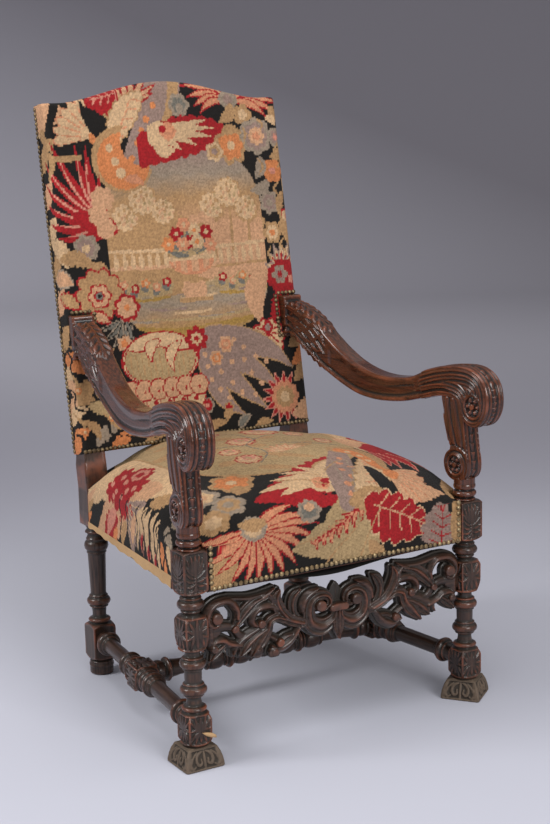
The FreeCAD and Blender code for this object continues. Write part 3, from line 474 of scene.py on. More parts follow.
def side_stretcher():
    """End rings, flaring shafts and a carved block near the middle, from the front leg to the back one."""
    levels = np.arange(HALF_BLOCK - 1, SIDE_LENGTH - HALF_BLOCK + 1.1, 1.2)
    low, high, far = 244.0, 306.0, SIDE_LENGTH - HALF_BLOCK
    plain = ((23, 17), (44, 17), (72, 15.2), (190, 15.6), (200, 19), (low, 19), (high, 19), (350, 19), (360, 15.6),
             (far - 48, 15.2), (far - 20, 17), (far, 17))
    beads = [(58, 24.5, 16, 7.5), (68.5, 19.5, 15, 2.6), (46, 20, 15, 3),
             (far - 30, 25, 16, 8.5), (far - 41.5, 19.5, 15, 2.6), (far - 17, 20, 15, 3)]
    for out, crest, rise in ((3, 22.5, 3), (14, 23, 7), (24.5, 21.5, 2.6),
                             (35, 24.5, 7.5), (45.5, 21, 2.6), (51, 19, 2.4)):
        beads += [(low - out, crest, 17, rise), (high + out, crest, 17, rise)]
    radii = turning(levels, plain, beads)
    radii = blocked(levels, radii, low, high, 25, CENTRE_BLOCK_LEAVES, 3.4, (12, 12), 7.5)
    return laid(lathe(levels, radii), (FRONT_X, FRONT_Y, STRETCHER_Z), (-math.sin(SIDE_TOE), math.cos(SIDE_TOE)))


def cross_stretcher():
    """A barrel in the middle, with rings, vases and cups out to both side blocks."""
    reach = 247.0
    levels = np.arange(-reach, reach + 0.1, 1.2)
    out = np.abs(levels)
    plain = ((0, 15), (14, 13.5), (30, 15), (34, 18), (38, 17), (72, 15), (92, 14), (132, 15), (140, 14), (190, 16),
             (212, 18.5), (226, 15), (247, 16))
    beads = ((0, 19, 13, 10), (33, 21, 15, 3.5), (52, 22, 15, 16), (71, 19, 14, 3), (80, 24, 16, 5), (90, 19, 14, 3),
             (112, 21.5, 15, 16), (131, 19.5, 14, 3), (217, 24, 16, 5), (235, 21, 15, 10), (245, 21.5, 16, 3))
    return laid(lathe(levels, turning(out, plain, beads)), (0, CROSS_Y, STRETCHER_Z), (1.0, 0.0))


# Arms and their supports, drawn in side view: along from the front leg's axis, and up
ARM_OUTLINE = (
    (562, 744), (533, 744), (530, 733), (518, 730), (485, 723), (451, 709), (418, 690), (385, 668), (351, 648),
    (309, 629), (261, 616.5), (213, 612), (166, 615), (132, 622), (94, 637), (47, 650), (0, 657), (-36, 656),
    (-62, 645), (-77, 627), (-83, 604), (-81, 580), (-69, 559), (-50, 548), (-28, 551), (-12, 565), (-7, 583), (2, 594),
    (30, 597), (61, 593), (104, 581), (151, 569), (199, 562), (247, 559.5), (299, 564), (351, 579), (404, 600),
    (451, 624), (489, 648), (512, 660), (530, 665), (533, 658), (562, 658),
)
ARM_EYE = (-45.0, 586.0)
ARM_REAR_LEAVES = (
    (((524, 700), (486, 690), (446, 668), (400, 634)), (5, 8, 9, 1)),
    (((524, 722), (492, 712), (456, 694), (420, 670), (398, 650)), (5, 7, 7, 6, 1)),
    (((524, 682), (496, 668), (462, 646), (424, 618)), (4, 7, 7, 1)),
    (((512, 708), (490, 722), (470, 721)), (3, 5, 1)),
    (((486, 694), (466, 708), (446, 704)), (3, 5, 1)),
    (((460, 678), (438, 692), (420, 684)), (3, 5, 1)),
    (((434, 660), (414, 670), (402, 662)), (3, 4, 1)),
    (((506, 690), (486, 676), (470, 676)), (3, 4.5, 1)),
    (((480, 676), (460, 658), (442, 656)), (3, 4.5, 1)),
    (((450, 656), (430, 640), (412, 640)), (3, 4.5, 1)),
    (((500, 666), (480, 650), (462, 634)), (2, 4, 1)),
)
SUPPORT_OUTLINE = (
    (22, 495), (34, 484), (39, 466), (33, 447), (20, 436), (4, 433), (-13, 438), (-25, 451), (-28, 470), (-24, 500),
    (-20, 530), (-17, 560), (-6, 601), (42, 601), (40, 570), (36, 545), (28, 518),
)
SUPPORT_EYE = (6.0, 466.0)
# Outer edge of a rosette's ring, as a share of its size
RING_EDGE = 1.08
SUPPORT_LEAVES = (
    (((12, 590), (6, 556), (-4, 520), (-10, 492)), (7, 9, 8, 3)),
    (((28, 592), (26, 560), (18, 530), (6, 504)), (6, 9, 8, 3)),
    (((36, 560), (32, 535), (24, 512)), (3, 6, 2)),
)


def rosette(along, up, eye, size):
    """Carved side height of a scroll's eye: a ring, six petals and a middle boss."""
    x = along[None, :] - eye[0]
    z = up[:, None] - eye[1]
    away = np.hypot(x, z) / size
    boss, ring, ground = 0.24, 0.8, -4.4
    petals = 0.55 + 0.45 * np.cos(6 * np.arctan2(z, x))
    bowl = ground + 7.0 * petals * np.sin(clamp((away - boss) / 0.58) * math.pi)
    height = np.where(away < boss, 2.6, bowl)
    height = np.where(away > ring, 2.2 * np.sin(clamp((away - ring) / (RING_EDGE - ring)) * math.pi), height)
    return np.where(away < RING_EDGE, height, 0), away


def spiral(along, up, eye, inner, growth):
    """Depth of a groove that winds out from a scroll's eye."""
    x = along[None, :] - eye[0]
    z = up[:, None] - eye[1]
    away = np.hypot(x, z)
    turn = (np.arctan2(z, x) / (2 * math.pi)) % 1
    ring = inner + growth * turn
    near = np.minimum(np.abs(away - ring), np.abs(away - ring - growth))
    depth, width, turns = 2.4, 1.9, 1.7
    return -depth * np.exp(-(near / width) ** 2) * (away < inner + turns * growth)


def bellflowers(x, run):
    """Relief of a band down a scroll: a sunk chain of bellflowers between smooth rolls."""
    bell_length, chain_half, sunk, inner, outer = 17, 6.4, 2.0, 7.0, 15.4
    side = np.abs(x)
    share = run / bell_length % 1
    bell = np.sqrt(clamp(1 - (side / (1.6 + 4.0 * share)) ** 2)) * (0.4 + 2.6 * share)
    grooves = np.exp(-((side - inner) / 1.5) ** 2) + np.exp(-((side - outer) / 1.5) ** 2)
    roll = 1.2 * np.abs(np.sin(math.pi * (side - inner) / (outer - inner)))
    return np.where(side < chain_half, bell - sunk, roll - 2.2 * grooves)


def carved_bar(across, away, half, rounding, side, top):
    """Field of a bar with a drawn side view, rounded edges, and relief on its sides and round its outline."""
    x = np.abs(across)[:, None, None]
    edge = (away.T + rounding.T)[None]
    flank = x - (half[None, :, None] - rounding.T[None])
    field = np.hypot(np.maximum(edge, 0), np.maximum(flank, 0)) + np.minimum(np.maximum(edge, flank), 0)
    field = field - rounding.T[None]
    blend = 8
    lean = clamp((flank - edge) / blend + 0.5)
    return field - lean * side.T[None] - (1 - lean) * top


def set_on_arm_line(points):
    """From the arm's own frame to the right side of the chair."""
    x, y, z = points.T
    sine, cosine = math.sin(ARM_TOE), math.cos(ARM_TOE)
    return np.stack([x * cosine - y * sine + FRONT_X, x * sine + y * cosine + FRONT_Y, z], 1)


def arm():
    """A swept arm: rounded top, a bead along its lower edge, leaves behind and a fluted scroll in front."""
    step = 1.5
    across = np.arange(-28.5, 28.6, step)
    along = np.arange(-90, 566, step)
    up = np.arange(540, 748, step)
    away = outline_distance(along, up, ARM_OUTLINE)
    half = np.interp(along, (-60, 40, 120, 520, 526, 530, 562), (23, 22.5, 21, 19.5, 18, 23.5, 23.5))
    middle = np.interp(along, (-90, -40, 60, 247, 400, 490, 562), (600, 600, 618, 586, 640, 690, 702))
    rounding = np.where(up[:, None] > middle[None, :], 8.0, 7.0) * np.ones_like(away)
    rounding[:, along > 528] = 3.0
    rounding[:, along < -8] = 7.0
    rounding = np.minimum(blurred(rounding, 4), half[None, :] - 4)
    # Sides: strands round the scroll as far as a fringe, leaves behind, a bead along the lower edge and a cove between
    eye, from_eye = rosette(along, up, ARM_EYE, 24)
    fringe = 112 - 9 * np.abs(np.sin(up / 7.5))[:, None]
    front = clamp((fringe - along[None, :]) / 4) * (from_eye > RING_EDGE)
    rear = (clamp((along - 385) / 18) * clamp((540 - along) / 10))[None, :]
    strands = 1.5 * np.cos(2 * math.pi * away / 7.4) + 0.9 * np.cos(2 * math.pi * away / 17)
    behind = relief(along, up, ARM_REAR_LEAVES, 0.4) * 3.8
    below = up[:, None] < middle[None, :]
    bead = np.where(below & (along[None, :] > 20), -3.8 * np.exp(-((away + 13.0) / 4.0) ** 2), 0)
    plain = (clamp((along - 116) / 10) * clamp((392 - along) / 10))[None, :]
    cove = -3.0 * plain * clamp((-away - 7) / 14)
    side = eye + front * (strands + 0.9) + rear * behind + bead + cove
    # Top: bellflowers down the scroll, and a lobed leaf with a raised vein behind
    x = across[:, None, None]
    s = along[None, :, None]
    scroll_radius = 66
    ahead = np.arctan2(ARM_EYE[0] - along[None, :], up[:, None] - ARM_EYE[1])
    run = np.where(along[None, :] > ARM_EYE[0], along[None, :] - ARM_EYE[0], -scroll_radius * ahead).T[None]
    scroll = (bellflowers(x, run) + 0.9) * clamp((106 - 7 * np.abs(np.sin(x / 3.4)) - s) / 4)
    lobes = np.cos(2 * math.pi * (s + 0.9 * np.abs(x)) / 19) * clamp(np.abs(x) / 8)
    vein = 1.8 * np.exp(-(x / 3) ** 2) + 2.4 + 1.6 * lobes
    top = scroll + vein * clamp((s - 396 - 0.6 * np.abs(x)) / 5) * clamp((524 - s) / 6)
    top = top * (away.T > -9)[None]
    field = carved_bar(across, away, half, rounding, side, top)
    points, faces, hollow = skin(field, (across[0], along[0], up[0]), step)
    return set_on_arm_line(points), faces, hollow, points[:, [1, 0, 2]]


def arm_support():
    """A scrolled support on a turned neck, with a husk band down its front and a rosette in its volute."""
    step = 1.3
    across = np.arange(-26, 26.1, step)
    along = np.arange(-38, 52, step)
    up = np.arange(426, 606, step)
    away = outline_distance(along, up, SUPPORT_OUTLINE)
    half = np.full(len(along), 20.0)
    rounding = np.full_like(away, 4.5)
    eye, from_eye = rosette(along, up, SUPPORT_EYE, 21)
    leaves = relief(along, up, SUPPORT_LEAVES) * 3.4 - 1.4
    winding = spiral(along, up, SUPPORT_EYE, 23.5, 12)
    side = eye + (from_eye > RING_EDGE) * (winding + leaves * clamp((up[:, None] - 492) / 10))
    x = across[:, None, None]
    z = up[None, None, :]
    ahead = (along[None, :, None] < 8)
    top = np.where(ahead, bellflowers(x, z), 0.9 * np.cos(2 * math.pi * x / 10))
    field = carved_bar(across, away, half, rounding, side, top)
    points, faces, hollow = skin(field, (across[0], along[0], up[0]), step)
    levels = np.arange(RAIL_TOP, 441, 1.0)
    plain = ((RAIL_TOP, 17), (401, 15), (404, 15), (417, 17), (423, 20.5), (441, 20.5))
    beads = ((398, 21, 16, 3), (409.7, 23, 16, 6.5), (424, 21.5, 18, 6))
    neck = moved(lathe(levels, turning(levels, plain, beads)), (FRONT_X, FRONT_Y, 0))
    return join((set_on_arm_line(points), faces, hollow, points[:, [2, 0, 1]]), neck)


# Pierced front stretcher, right half: points (out from the middle, up), half widths, half thickness, forward, ridges.
# Two points without ridges are a scroll's eye or a boss
STRETCHER_LEAVES = (
    (((6, 240), (9, 219), (33, 206), (55, 216), (62, 236), (57, 257), (40, 267), (22, 263), (17, 250), (28, 241),
      (38, 246)), (5, 9, 14, 13, 11, 9.5, 8, 6.5, 5, 4.5, 5), 14, 2, 2),
    (((38, 248), (40, 248)), 10.5, 17, 4, 0),
    (((-4, 241), (14, 240)), (7.5, 7), 15, 6, 0),
    (((0, 236), (0, 206), (0, 178)), (4, 10, 1), 14, 5, 2),
    (((0, 246), (0, 258), (0, 268), (0, 281)), (8, 5, 7, 1), 9, -6, 2),
    (((76, 244), (72, 260), (60, 272), (40, 282)), (5, 8, 8, 1), 12, 2, 1),
    (((72, 220), (90, 234), (97, 256), (92, 274), (78, 287)), (7, 8, 7, 8, 1), 12, 0, 2),
    (((76, 222), (103, 233), (118, 248), (128, 264), (131, 280), (124, 293)), (8, 9, 9, 10, 8, 2), 14, 3, 2),
    (((126, 264), (138, 279), (147, 291)), (6, 8, 2), 12, 1, 1),
    (((124, 256), (142, 266), (164, 266), (177, 257), (181, 244), (173, 235), (165, 237)), (7, 7, 7, 6.5, 6, 5.5, 5),
     12, 2, 1),
    (((164, 237), (165, 237)), 7.5, 15, 4, 0),
    (((80, 222), (112, 235), (130, 243), (146, 238), (152, 222), (166, 205), (186, 181)), (7, 6.5, 7, 8, 9, 12, 3),
     14, 3, 2),
    (((84, 214), (96, 198), (107, 189), (125, 183), (142, 190)), (5, 7, 8, 8, 3), 12, 2, 1),
    (((92, 204), (108, 202), (124, 196), (140, 206), (152, 214)), (5, 5, 6, 5, 4), 10, 1, 1),
    (((127, 196), (128, 195)), 7.5, 16, 5, 0),
    (((148, 228), (176, 214), (196, 199), (208, 185)), (7, 10, 10, 2), 13, 2, 2),
    (((158, 232), (190, 219), (212, 205), (222, 189)), (6, 9, 8, 2), 12, 0, 1),
    (((150, 286), (172, 281), (190, 269), (208, 252), (218, 239)), (5, 8, 11, 9, 5), 13, 1, 2),
    (((217, 238), (219, 237)), 6.5, 14, 3, 0),
    (((219, 240), (206, 222), (190, 218)), (5, 6, 6), 11, 0, 0),
    (((212, 256), (212, 272), (227, 290), (250, 291), (266, 281), (272, 264), (264, 250), (252, 251), (249, 261),
      (256, 266)), (5, 6.5, 7, 7, 8, 8, 7, 5, 4, 6), 13, 2, 1),
    (((254, 264), (256, 264)), 10.5, 16, 4, 0),
    (((218, 238), (234, 244), (256, 244)), (5, 6, 7), 11, 0, 0),
    (((138, 293), (164, 289), (186, 288), (206, 291), (228, 295)), 5, 10, 0, 1),
    (((160, 286), (148, 290), (134, 299)), (5, 5, 1), 11, 2, 1),
    (((206, 204), (228, 211), (242, 220), (258, 220), (266, 211), (260, 205)), (6, 6.5, 6.5, 6, 5, 4), 12, 2, 1),
    (((261, 208), (262, 208)), 7, 14, 3, 0),
    (((236, 214), (254, 202), (268, 187)), (5, 9, 2), 12, 0, 2),
    (((266, 222), (267, 250)), 9, 12, 1, 1),
    (((260, 243), (279, 243)), (16, 18), 12, 0, 0),
)
# Bosses below the left half only
STRETCHER_BOSSES = (
    (((138, 179), (138, 178)), 12, 13, 2, 0), (((138, 179), (138, 178)), 7.5, 14.5, 3, 0),
    (((172, 186), (173, 185)), 11, 13, 2, 0), (((172, 186), (173, 185)), 6.5, 14.5, 3, 0),
)


def front_stretcher():
    """Two scrolls held by a clasp over a hanging leaf, with branching leaves out to a scroll by each leg."""
    step = 1.25
    across = np.arange(0, 281, step)
    along = np.arange(-25, 24, step)
    up = np.arange(170, 314, step)
    y = along[None, :, None]

    def cut(half, leaves):
        """Leave ridged leaves and flat eyes standing, each on a thinner web set back behind it."""
        slope, web_border, web_back, web_half = 7, 3.5, 5, 6
        for points, widths, thick, forward, ridges in leaves:
            eye = len(points) == 2 and not ridges
            widths = np.multiply(widths, 1.0 if eye else 1.24)
            rows, columns, away = stroke(across, up, points, widths, 2.2)
            away = away.T[:, None, :]
            ridged = thick * (0.78 + 0.22 * np.cos(math.pi * ridges * away)) if ridges else thick - 1.5
            power = 6 if eye else 3
            value = ((np.abs(away) ** power + np.abs((y + forward) / ridged) ** power) ** (1 / power) - 1) * slope
            half[columns, :, rows] = np.minimum(half[columns, :, rows], value)
            rows, columns, away = stroke(across, up, points, widths + web_border, 1.6)
            web = (np.maximum(np.abs(away.T)[:, None, :], np.abs(y - web_back) / web_half) - 1) * slope
            half[columns, :, rows] = np.minimum(half[columns, :, rows], web)
        return half

    right = cut(np.full((len(across), len(along), len(up)), 8.0), STRETCHER_LEAVES)
    left = cut(right.copy(), STRETCHER_BOSSES)
    points, faces, hollow = skin(np.concatenate([left[:0:-1], right]), (-across[-1], FRONT_Y + along[0], up[0]), step)
    # What stands forward takes the rubbed colour with its painted highlight, and what lies back takes the dark colour
    # of the hollows with its painted shade
    set_back = (points[:, 1] - FRONT_Y + 11) / 13
    return points, faces, np.clip(0.55 * hollow + set_back, -1, 1), points


# Upholstery
class Canvas:
    """A needlepoint canvas: one wool for every stitch, laid down by motifs measured in millimetres."""

    def __init__(self, wools, left, right, bottom, top, stitch):
        """Start with a black ground over the whole canvas."""
        self.wools = wools
        self.across = np.arange(left, right, stitch)
        self.up = np.arange(bottom, top, stitch)
        self.x, self.t = np.meshgrid(self.across, self.up)
        self.stitches = np.empty((*self.x.shape, 3))
        self.stitches[:] = wools["black"]
        self.within = True

    def lay(self, mask, wool):
        """Stitch every place that the mask holds."""
        self.stitches[mask & self.within] = self.wools[wool]

    def leaf(self, root, tip, bend, half, wools, scallop=0.0, rim=4.0, lobes=7):
        """A pointed leaf; of its wools, each further one lies inside the one before."""
        run = (tip[0] - root[0], tip[1] - root[1])
        size = math.hypot(*run)
        x, t = self.x - root[0], self.t - root[1]
        share = (x * run[0] + t * run[1]) / size ** 2
        inner = clamp(share)
        side = (t * run[0] - x * run[1]) / size - 4 * bend * inner * (1 - inner)
        width = half * np.sin(math.pi * inner ** 0.8) ** 0.8
        width = width * (1 - scallop + scallop * np.abs(np.sin(math.pi * lobes * inner)))
        for step, wool in enumerate(wools.split()):
            self.lay((np.abs(side) < width - step * rim) & (share > 0) & (share < 1 - 0.03 * step), wool)

    def fan(self, root, tips, bend, half, wools, rim=3.2):
        """Feathers that spread from one root."""
        for tip in tips:
            self.leaf(root, tip, bend, half, wools, rim=rim)

    def blossom(self, centre, size, petals, wools, depth=0.05):
        """A round flower with scalloped petals; of its wools, each further one is a smaller flower inside."""
        wools = wools.split()
        x, t = self.x - centre[0], self.t - centre[1]
        edge = 1 - depth + 2 * depth * np.abs(np.cos(petals * np.arctan2(t, x) / 2))
        for step, wool in enumerate(wools):
            self.lay(np.hypot(x, t) < size * edge * (1 - step / len(wools)), wool)

    def band(self, points, widths, wool):
        """A line of one width or of changing width."""
        line = smooth_line(points, widths)
        for a, b in zip(line, line[1:]):
            share, dx, dt = from_segment(self.x, self.t, a, b)
            self.lay(np.hypot(dx, dt) < a[2] + (b[2] - a[2]) * share, wool)

    def shell(self, centre, size, start, end, wool, rib_wool):
        """A scalloped fan with ribs, open from one angle to another."""
        ribs, rib_half = 6, 1.7
        x, t = self.x - centre[0], self.t - centre[1]
        share = ((np.degrees(np.arctan2(t, x)) - start) % 360) / ((end - start) % 360)
        away = np.hypot(x, t)
        inside = (share <= 1) & (away < size * (0.88 + 0.12 * np.abs(np.sin(share * ribs * math.pi))))
        self.lay(inside, wool)
        turn = np.abs(((share * ribs + 0.5) % 1) - 0.5) * (end - start) % 360 / ribs
        rib = turn * away * math.pi / 180 < rib_half
        self.lay(inside & rib & (away > 0.35 * size) & (away < 0.84 * size), rib_wool)

    def veins(self, start, end, reach, count, wool, width):
        """A leaf's midrib with side veins that point to its tip."""
        run = np.array((end[0] - start[0], end[1] - start[1]))
        side = np.array((-run[1], run[0])) / np.hypot(*run)
        self.band((start, end), width, wool)
        for place in (np.arange(count) + 0.5) / count:
            foot = np.array(start) + place * run
            for way in (-1, 1):
                tip = foot + 0.14 * run + way * side * reach * (1 - 0.55 * place)
                self.band((tuple(foot), tuple(tip)), width, wool)


def arc(centre, wide, tall, start, end, count):
    """Places along part of an oval, between two angles."""
    turns = np.linspace(start, end, count)
    return [(centre[0] + wide * math.cos(turn), centre[1] + tall * math.sin(turn)) for turn in turns]


def back_motifs(canvas):
    """Large flowers, feathers and leaves on black, measured from the middle of the back's lower edge."""
    leaf, fan, blossom, band = canvas.leaf, canvas.fan, canvas.blossom, canvas.band
    shell, veins, lay, x, t = canvas.shell, canvas.veins, canvas.lay, canvas.x, canvas.t
    edge_wools = ("orange", "peach", "cream", "camel", "peach", "camel", "cream", "peach", "camel", "cream")
    for step, wool in enumerate(edge_wools):
        low = 72 * step
        for side in (-1, 1):
            leaf((side * 330, 4 + low), (side * 266, 44 + low), 8 * side, 25, wool, 0.2)
            wave = ((322, 0), (300, 9), (306, 24), (284, 30), (290, 46), (262, 52))
            band([(side * across, 26 + low + rise) for across, rise in wave], (2, 4, 3, 4.5, 3, 1.6), "black")
    # Upper left: corner shells, carnation, feathers, spotted band and crescent
    blossom((-278, 690), 44, 5, "peach", 0.06)
    leaf((-310, 650), (-226, 716), 10, 30, "peach")
    leaf((-298, 652), (-256, 600), 6, 15, "camel", 0.2)
    band(((-226, 740), (-246, 694), (-266, 640)), (9, 9, 7), "black")
    shell((-166, 630), 90, 100, 190, "salmon", "cream")
    shell((-166, 630), 86, 101, 189, "cream", "salmon")
    blossom((-163, 630), 17, 4, "orange", 0.08)
    leaf((-86, 664), (-170, 706), -12, 32, "camel")
    leaf((-90, 700), (-150, 720), 6, 22, "camel")
    leaf((-126, 612), (-192, 712), 12, 13, "black")
    leaf((-84, 728), (-182, 700), 10, 36, "red", 0.22, lobes=6)
    veins((-98, 722), (-164, 706), 20, 4, "pink", 1.6)
    band(((4, 760), (-14, 706), (-42, 655), (-86, 574)), (44, 42, 36, 28), "mauve")
    band(((30, 752), (18, 712), (4, 676), (-14, 652)), (13, 12, 9, 5), "camel")
    fan((-84, 680), ((-104, 738), (-82, 756), (-56, 760), (-30, 754), (-14, 736), (-26, 716), (-46, 704)), 5, 8,
        "red peach", rim=2.4)
    leaf((-52, 722), (-140, 592), -12, 31, "camel cream", 0.16, rim=3.4)
    for step in range(6):
        band(((-58 - 12 * step, 702 - 18 * step), (-78 - 11 * step, 704 - 20 * step),
              (-88 - 9 * step, 690 - 19 * step)), (1.6, 1.7, 1.6), "salmon")
    for spot in ((-50, 662), (-63, 640), (-76, 614), (-92, 584), (-30, 690), (-36, 634), (-60, 602)):
        blossom(spot, 7, 4, "orange")
    lay((np.hypot(x + 112, t - 584) < 68) & (np.hypot(x + 64, t - 612) > 54), "camel")
    lay((np.hypot(x + 110, t - 580) < 58) & (np.hypot(x + 66, t - 616) > 48), "orange")
    for spot, size in (((-140, 608), 8), ((-130, 580), 9), ((-120, 556), 11)):
        blossom(spot, size, 5, "cream")
    leaf((-112, 542), (-70, 530), 6, 10, "salmon", 0.2)
    # Upper middle: scalloped red leaf with pale flames
    share = clamp((x + 76) / 206)
    upper = 604 + 70 * np.sin(math.pi * clamp(share * 0.62 + 0.10)) - 14 * share
    lower = 566 + 36 * share + 30 * share ** 6
    scallop = 5 * np.abs(np.sin(share * 27))
    lay((x > -76) & (x < 130) & (t < upper + scallop) & (t > lower - scallop), "red")
    for tip, bend in (
        ((92, 658), 5), ((104, 640), 7), ((98, 622), 8), ((62, 604), 10), ((46, 656), 4), ((24, 596), 6),
    ):
        leaf((-34, 622), tip, bend, 7.5, "cream")
    blossom((-26, 630), 27, 5, "cream")
    leaf((-40, 606), (10, 600), -8, 14, "cream")
    blossom((-4, 636), 18, 4, "salmon")
    blossom((-16, 642), 8, 4, "red")
    blossom((29, 690), 23, 6, "grey blue blue", 0.12)
    blossom((30, 684), 9, 4, "grey")
    # Upper right: two drooping fans, and flowers down the edge
    fan((146, 696), ((44, 744), (36, 730), (48, 704), (62, 684), (76, 668), (88, 754)), -14, 10, "red salmon")
    fan((160, 696), ((270, 720), (282, 704), (280, 686), (266, 668), (240, 660), (250, 730)), 11, 10, "red salmon")
    fan((150, 700), ((112, 742), (136, 748), (162, 744), (186, 736)), 0, 8, "red peach")
    blossom((150, 700), 22, 4, "grey mauve", 0.08)
    leaf((156, 690), (118, 652), 10, 15, "camel", 0.2)
    blossom((180, 666), 22, 5, "camel cream", 0.12)
    leaf((196, 650), (166, 632), 6, 15, "grey", 0.2)
    blossom((142, 602), 37, 7, "camel orange orange cream", 0.14)
    leaf((150, 626), (138, 648), 2, 17, "camel")
    blossom((100, 590), 19, 5, "cream camel mauve", 0.14)
    blossom((208, 620), 37, 8, "grey mauve peach salmon", 0.1)
    blossom((258, 617), 20, 6, "grey mauve pink", 0.1)
    leaf((250, 684), (280, 650), -6, 14, "camel", 0.2)
    leaf((236, 660), (262, 640), 6, 9, "cream")
    leaf((284, 600), (236, 574), 8, 15, "camel", 0.2)
    blossom((240, 545), 24, 6, "orange orange pink", 0.12)
    leaf((214, 576), (196, 530), 6, 14, "grey")
    leaf((228, 524), (178, 506), 8, 15, "grey", 0.25)
    leaf((278, 556), (262, 500), 6, 13, "cream")
    blossom((224, 478), 24, 7, "grey mauve grey", 0.12)
    leaf((262, 502), (246, 450), -6, 10, "camel")
    blossom((266, 448), 18, 5, "red cream pink", 0.12)
    blossom((222, 414), 22, 6, "camel cream orange", 0.14)
    leaf((246, 440), (262, 384), 8, 15, "camel")
    blossom((240, 324), 44, 9, "red")
    fan((240, 330), [(240 + 50 * math.sin(turn), 330 + 66 * math.cos(turn)) for turn in np.linspace(-1.25, 1.25, 7)],
        0, 9, "mauve cream red")
    blossom((238, 322), 34, 7, "red")
    blossom((230, 324), 18, 6, "grey mauve red", 0.14)
    blossom((258, 312), 8, 5, "pink", 0.16)
    for points in (
        ((262, 606), (252, 588), (262, 568), (256, 552)), ((206, 572), (216, 556), (206, 540)),
        ((252, 520), (240, 508), (248, 492)), ((258, 470), (246, 462), (250, 440), (240, 430)),
        ((196, 452), (204, 440), (200, 426)), ((250, 400), (240, 388), (252, 372)),
        ((214, 384), (206, 370), (212, 356)), ((216, 656), (226, 646), (222, 634)),
        ((176, 640), (182, 626), (176, 610)), ((270, 588), (278, 570), (270, 550)),
    ):
        band(points, (1.6, 3.4, 1.6) if len(points) == 3 else (1.6, 3.6, 3, 1.6), "camel")
    # Lower right: carnation, spotted leaf with long fingers, sun flower
    leaf((196, 346), (170, 220), -22, 26, "peach")
    leaf((222, 290), (196, 226), 8, 20, "red", 0.3)
    leaf((226, 270), (246, 222), 6, 16, "mauve")
    blossom((184, 192), 40, 10, "red cream", 0.1)
    blossom((184, 192), 35, 10, "cream", 0.1)
    for tip in arc((184, 198), 30, 30, 2.6, 6.8, 8):
        band(((184, 204), tip), (1.5, 1.9), "red")
    blossom((184, 214), 13, 6, "red mauve", 0.16)
    fingers = (
        (((52, 188), (126, 186), (188, 164), (236, 124)), (46, 34, 20, 3)),
        (((54, 168), (112, 148), (160, 116), (196, 82)), (44, 27, 16, 3)),
        (((46, 164), (82, 116), (122, 78), (160, 46)), (44, 26, 15, 3)),
        (((38, 160), (44, 106), (66, 66), (104, 38)), (36, 25, 16, 3)),
    )
    for thinner, wool in ((0, "camel"), (3, "mauve")):
        for points, widths in fingers:
            band(points, [max(width - thinner, 1) for width in widths], wool)
    for spot in (
        (24, 172), (28, 146), (34, 118), (52, 96), (72, 76), (58, 132), (84, 106), (104, 84), (96, 196), (118, 178),
        (146, 156), (116, 152), (170, 142), (132, 122), (154, 98), (86, 150), (136, 76),
    ):
        blossom(spot, 5.5, 4, "peach")
    blossom((76, 188), 17, 6, "peach salmon peach", 0.14)
    blossom((50, 162), 15, 6, "peach orange peach", 0.14)
    fan((208, 62), arc((208, 62), 58, 58, 1.1, 5.2, 11), 0, 8, "pink red", rim=2.6)
    blossom((210, 62), 33, 10, "salmon camel cream", 0.08)
    blossom((17, 66), 16, 6, "grey red red pink", 0.16)
    blossom((68, 56), 11, 5, "camel red red", 0.16)
    leaf((60, 30), (78, 52), 4, 12, "camel", 0.2)
    leaf((14, 8), (64, 26), 8, 12, "camel", 0.2)
    leaf((92, 8), (122, 34), 6, 11, "grey blue")
    leaf((130, 4), (176, 14), 6, 10, "camel")
    leaf((284, 176), (236, 130), 8, 22, "orange", 0.25)
    leaf((290, 120), (238, 92), -8, 20, "camel", 0.2)
    leaf((286, 50), (224, 22), 8, 24, "peach", 0.2)
    leaf((270, 210), (232, 168), 8, 18, "camel")
    # Left edge: feather wing, small flowers and scroll leaves
    feathers = (
        (-166, 556), (-190, 616), (-214, 622), (-264, 628), (-288, 592), (-296, 548), (-296, 506), (-294, 466),
        (-270, 434),
    )
    fan((-150, 448), feathers, 14, 9, "red")
    fan((-176, 470), [(0.86 * x - 24, 0.86 * t + 64) for x, t in feathers], 13, 2.6, "pink")
    leaf((-140, 438), (-236, 480), 0, 26, "red")
    band(((-262, 592), (-236, 590), (-206, 592)), (6, 7, 6), "camel")
    band(((-284, 616), (-262, 588), (-274, 552)), (5, 7, 4), "camel")
    for spot, size in (((-166, 506), 24), ((-178, 474), 22), ((-166, 446), 20)):
        blossom(spot, size, 7, "peach", 0.1)
    blossom((-213, 410), 26, 7, "grey mauve cream", 0.12)
    leaf((-300, 430), (-254, 372), 12, 20, "cream", 0.2)
    leaf((-272, 392), (-196, 368), 10, 18, "camel", 0.25)
    leaf((-210, 372), (-168, 356), 6, 12, "camel", 0.2)
    leaf((-300, 352), (-246, 338), 8, 22, "grey peach", 0.15)
    blossom((-195, 316), 50, 10, "red", 0.1)
    blossom((-195, 316), 46, 10, "camel", 0.1)
    blossom((-196, 312), 24, 6, "red", 0.12)
    blossom((-196, 312), 20, 6, "peach", 0.12)
    blossom((-196, 312), 11, 6, "red blue black", 0.12)
    leaf((-290, 320), (-238, 286), 6, 18, "red camel", 0.3)
    leaf((-226, 276), (-176, 252), 6, 14, "red peach", 0.2)
    fan((-150, 262), ((-206, 246), (-198, 222), (-180, 206), (-158, 198), (-140, 204)), 6, 8, "grey black blue",
        rim=2.2)
    blossom((-154, 212), 15, 5, "peach orange", 0.16)
    blossom((-140, 284), 27, 7, "red peach peach orange", 0.1)
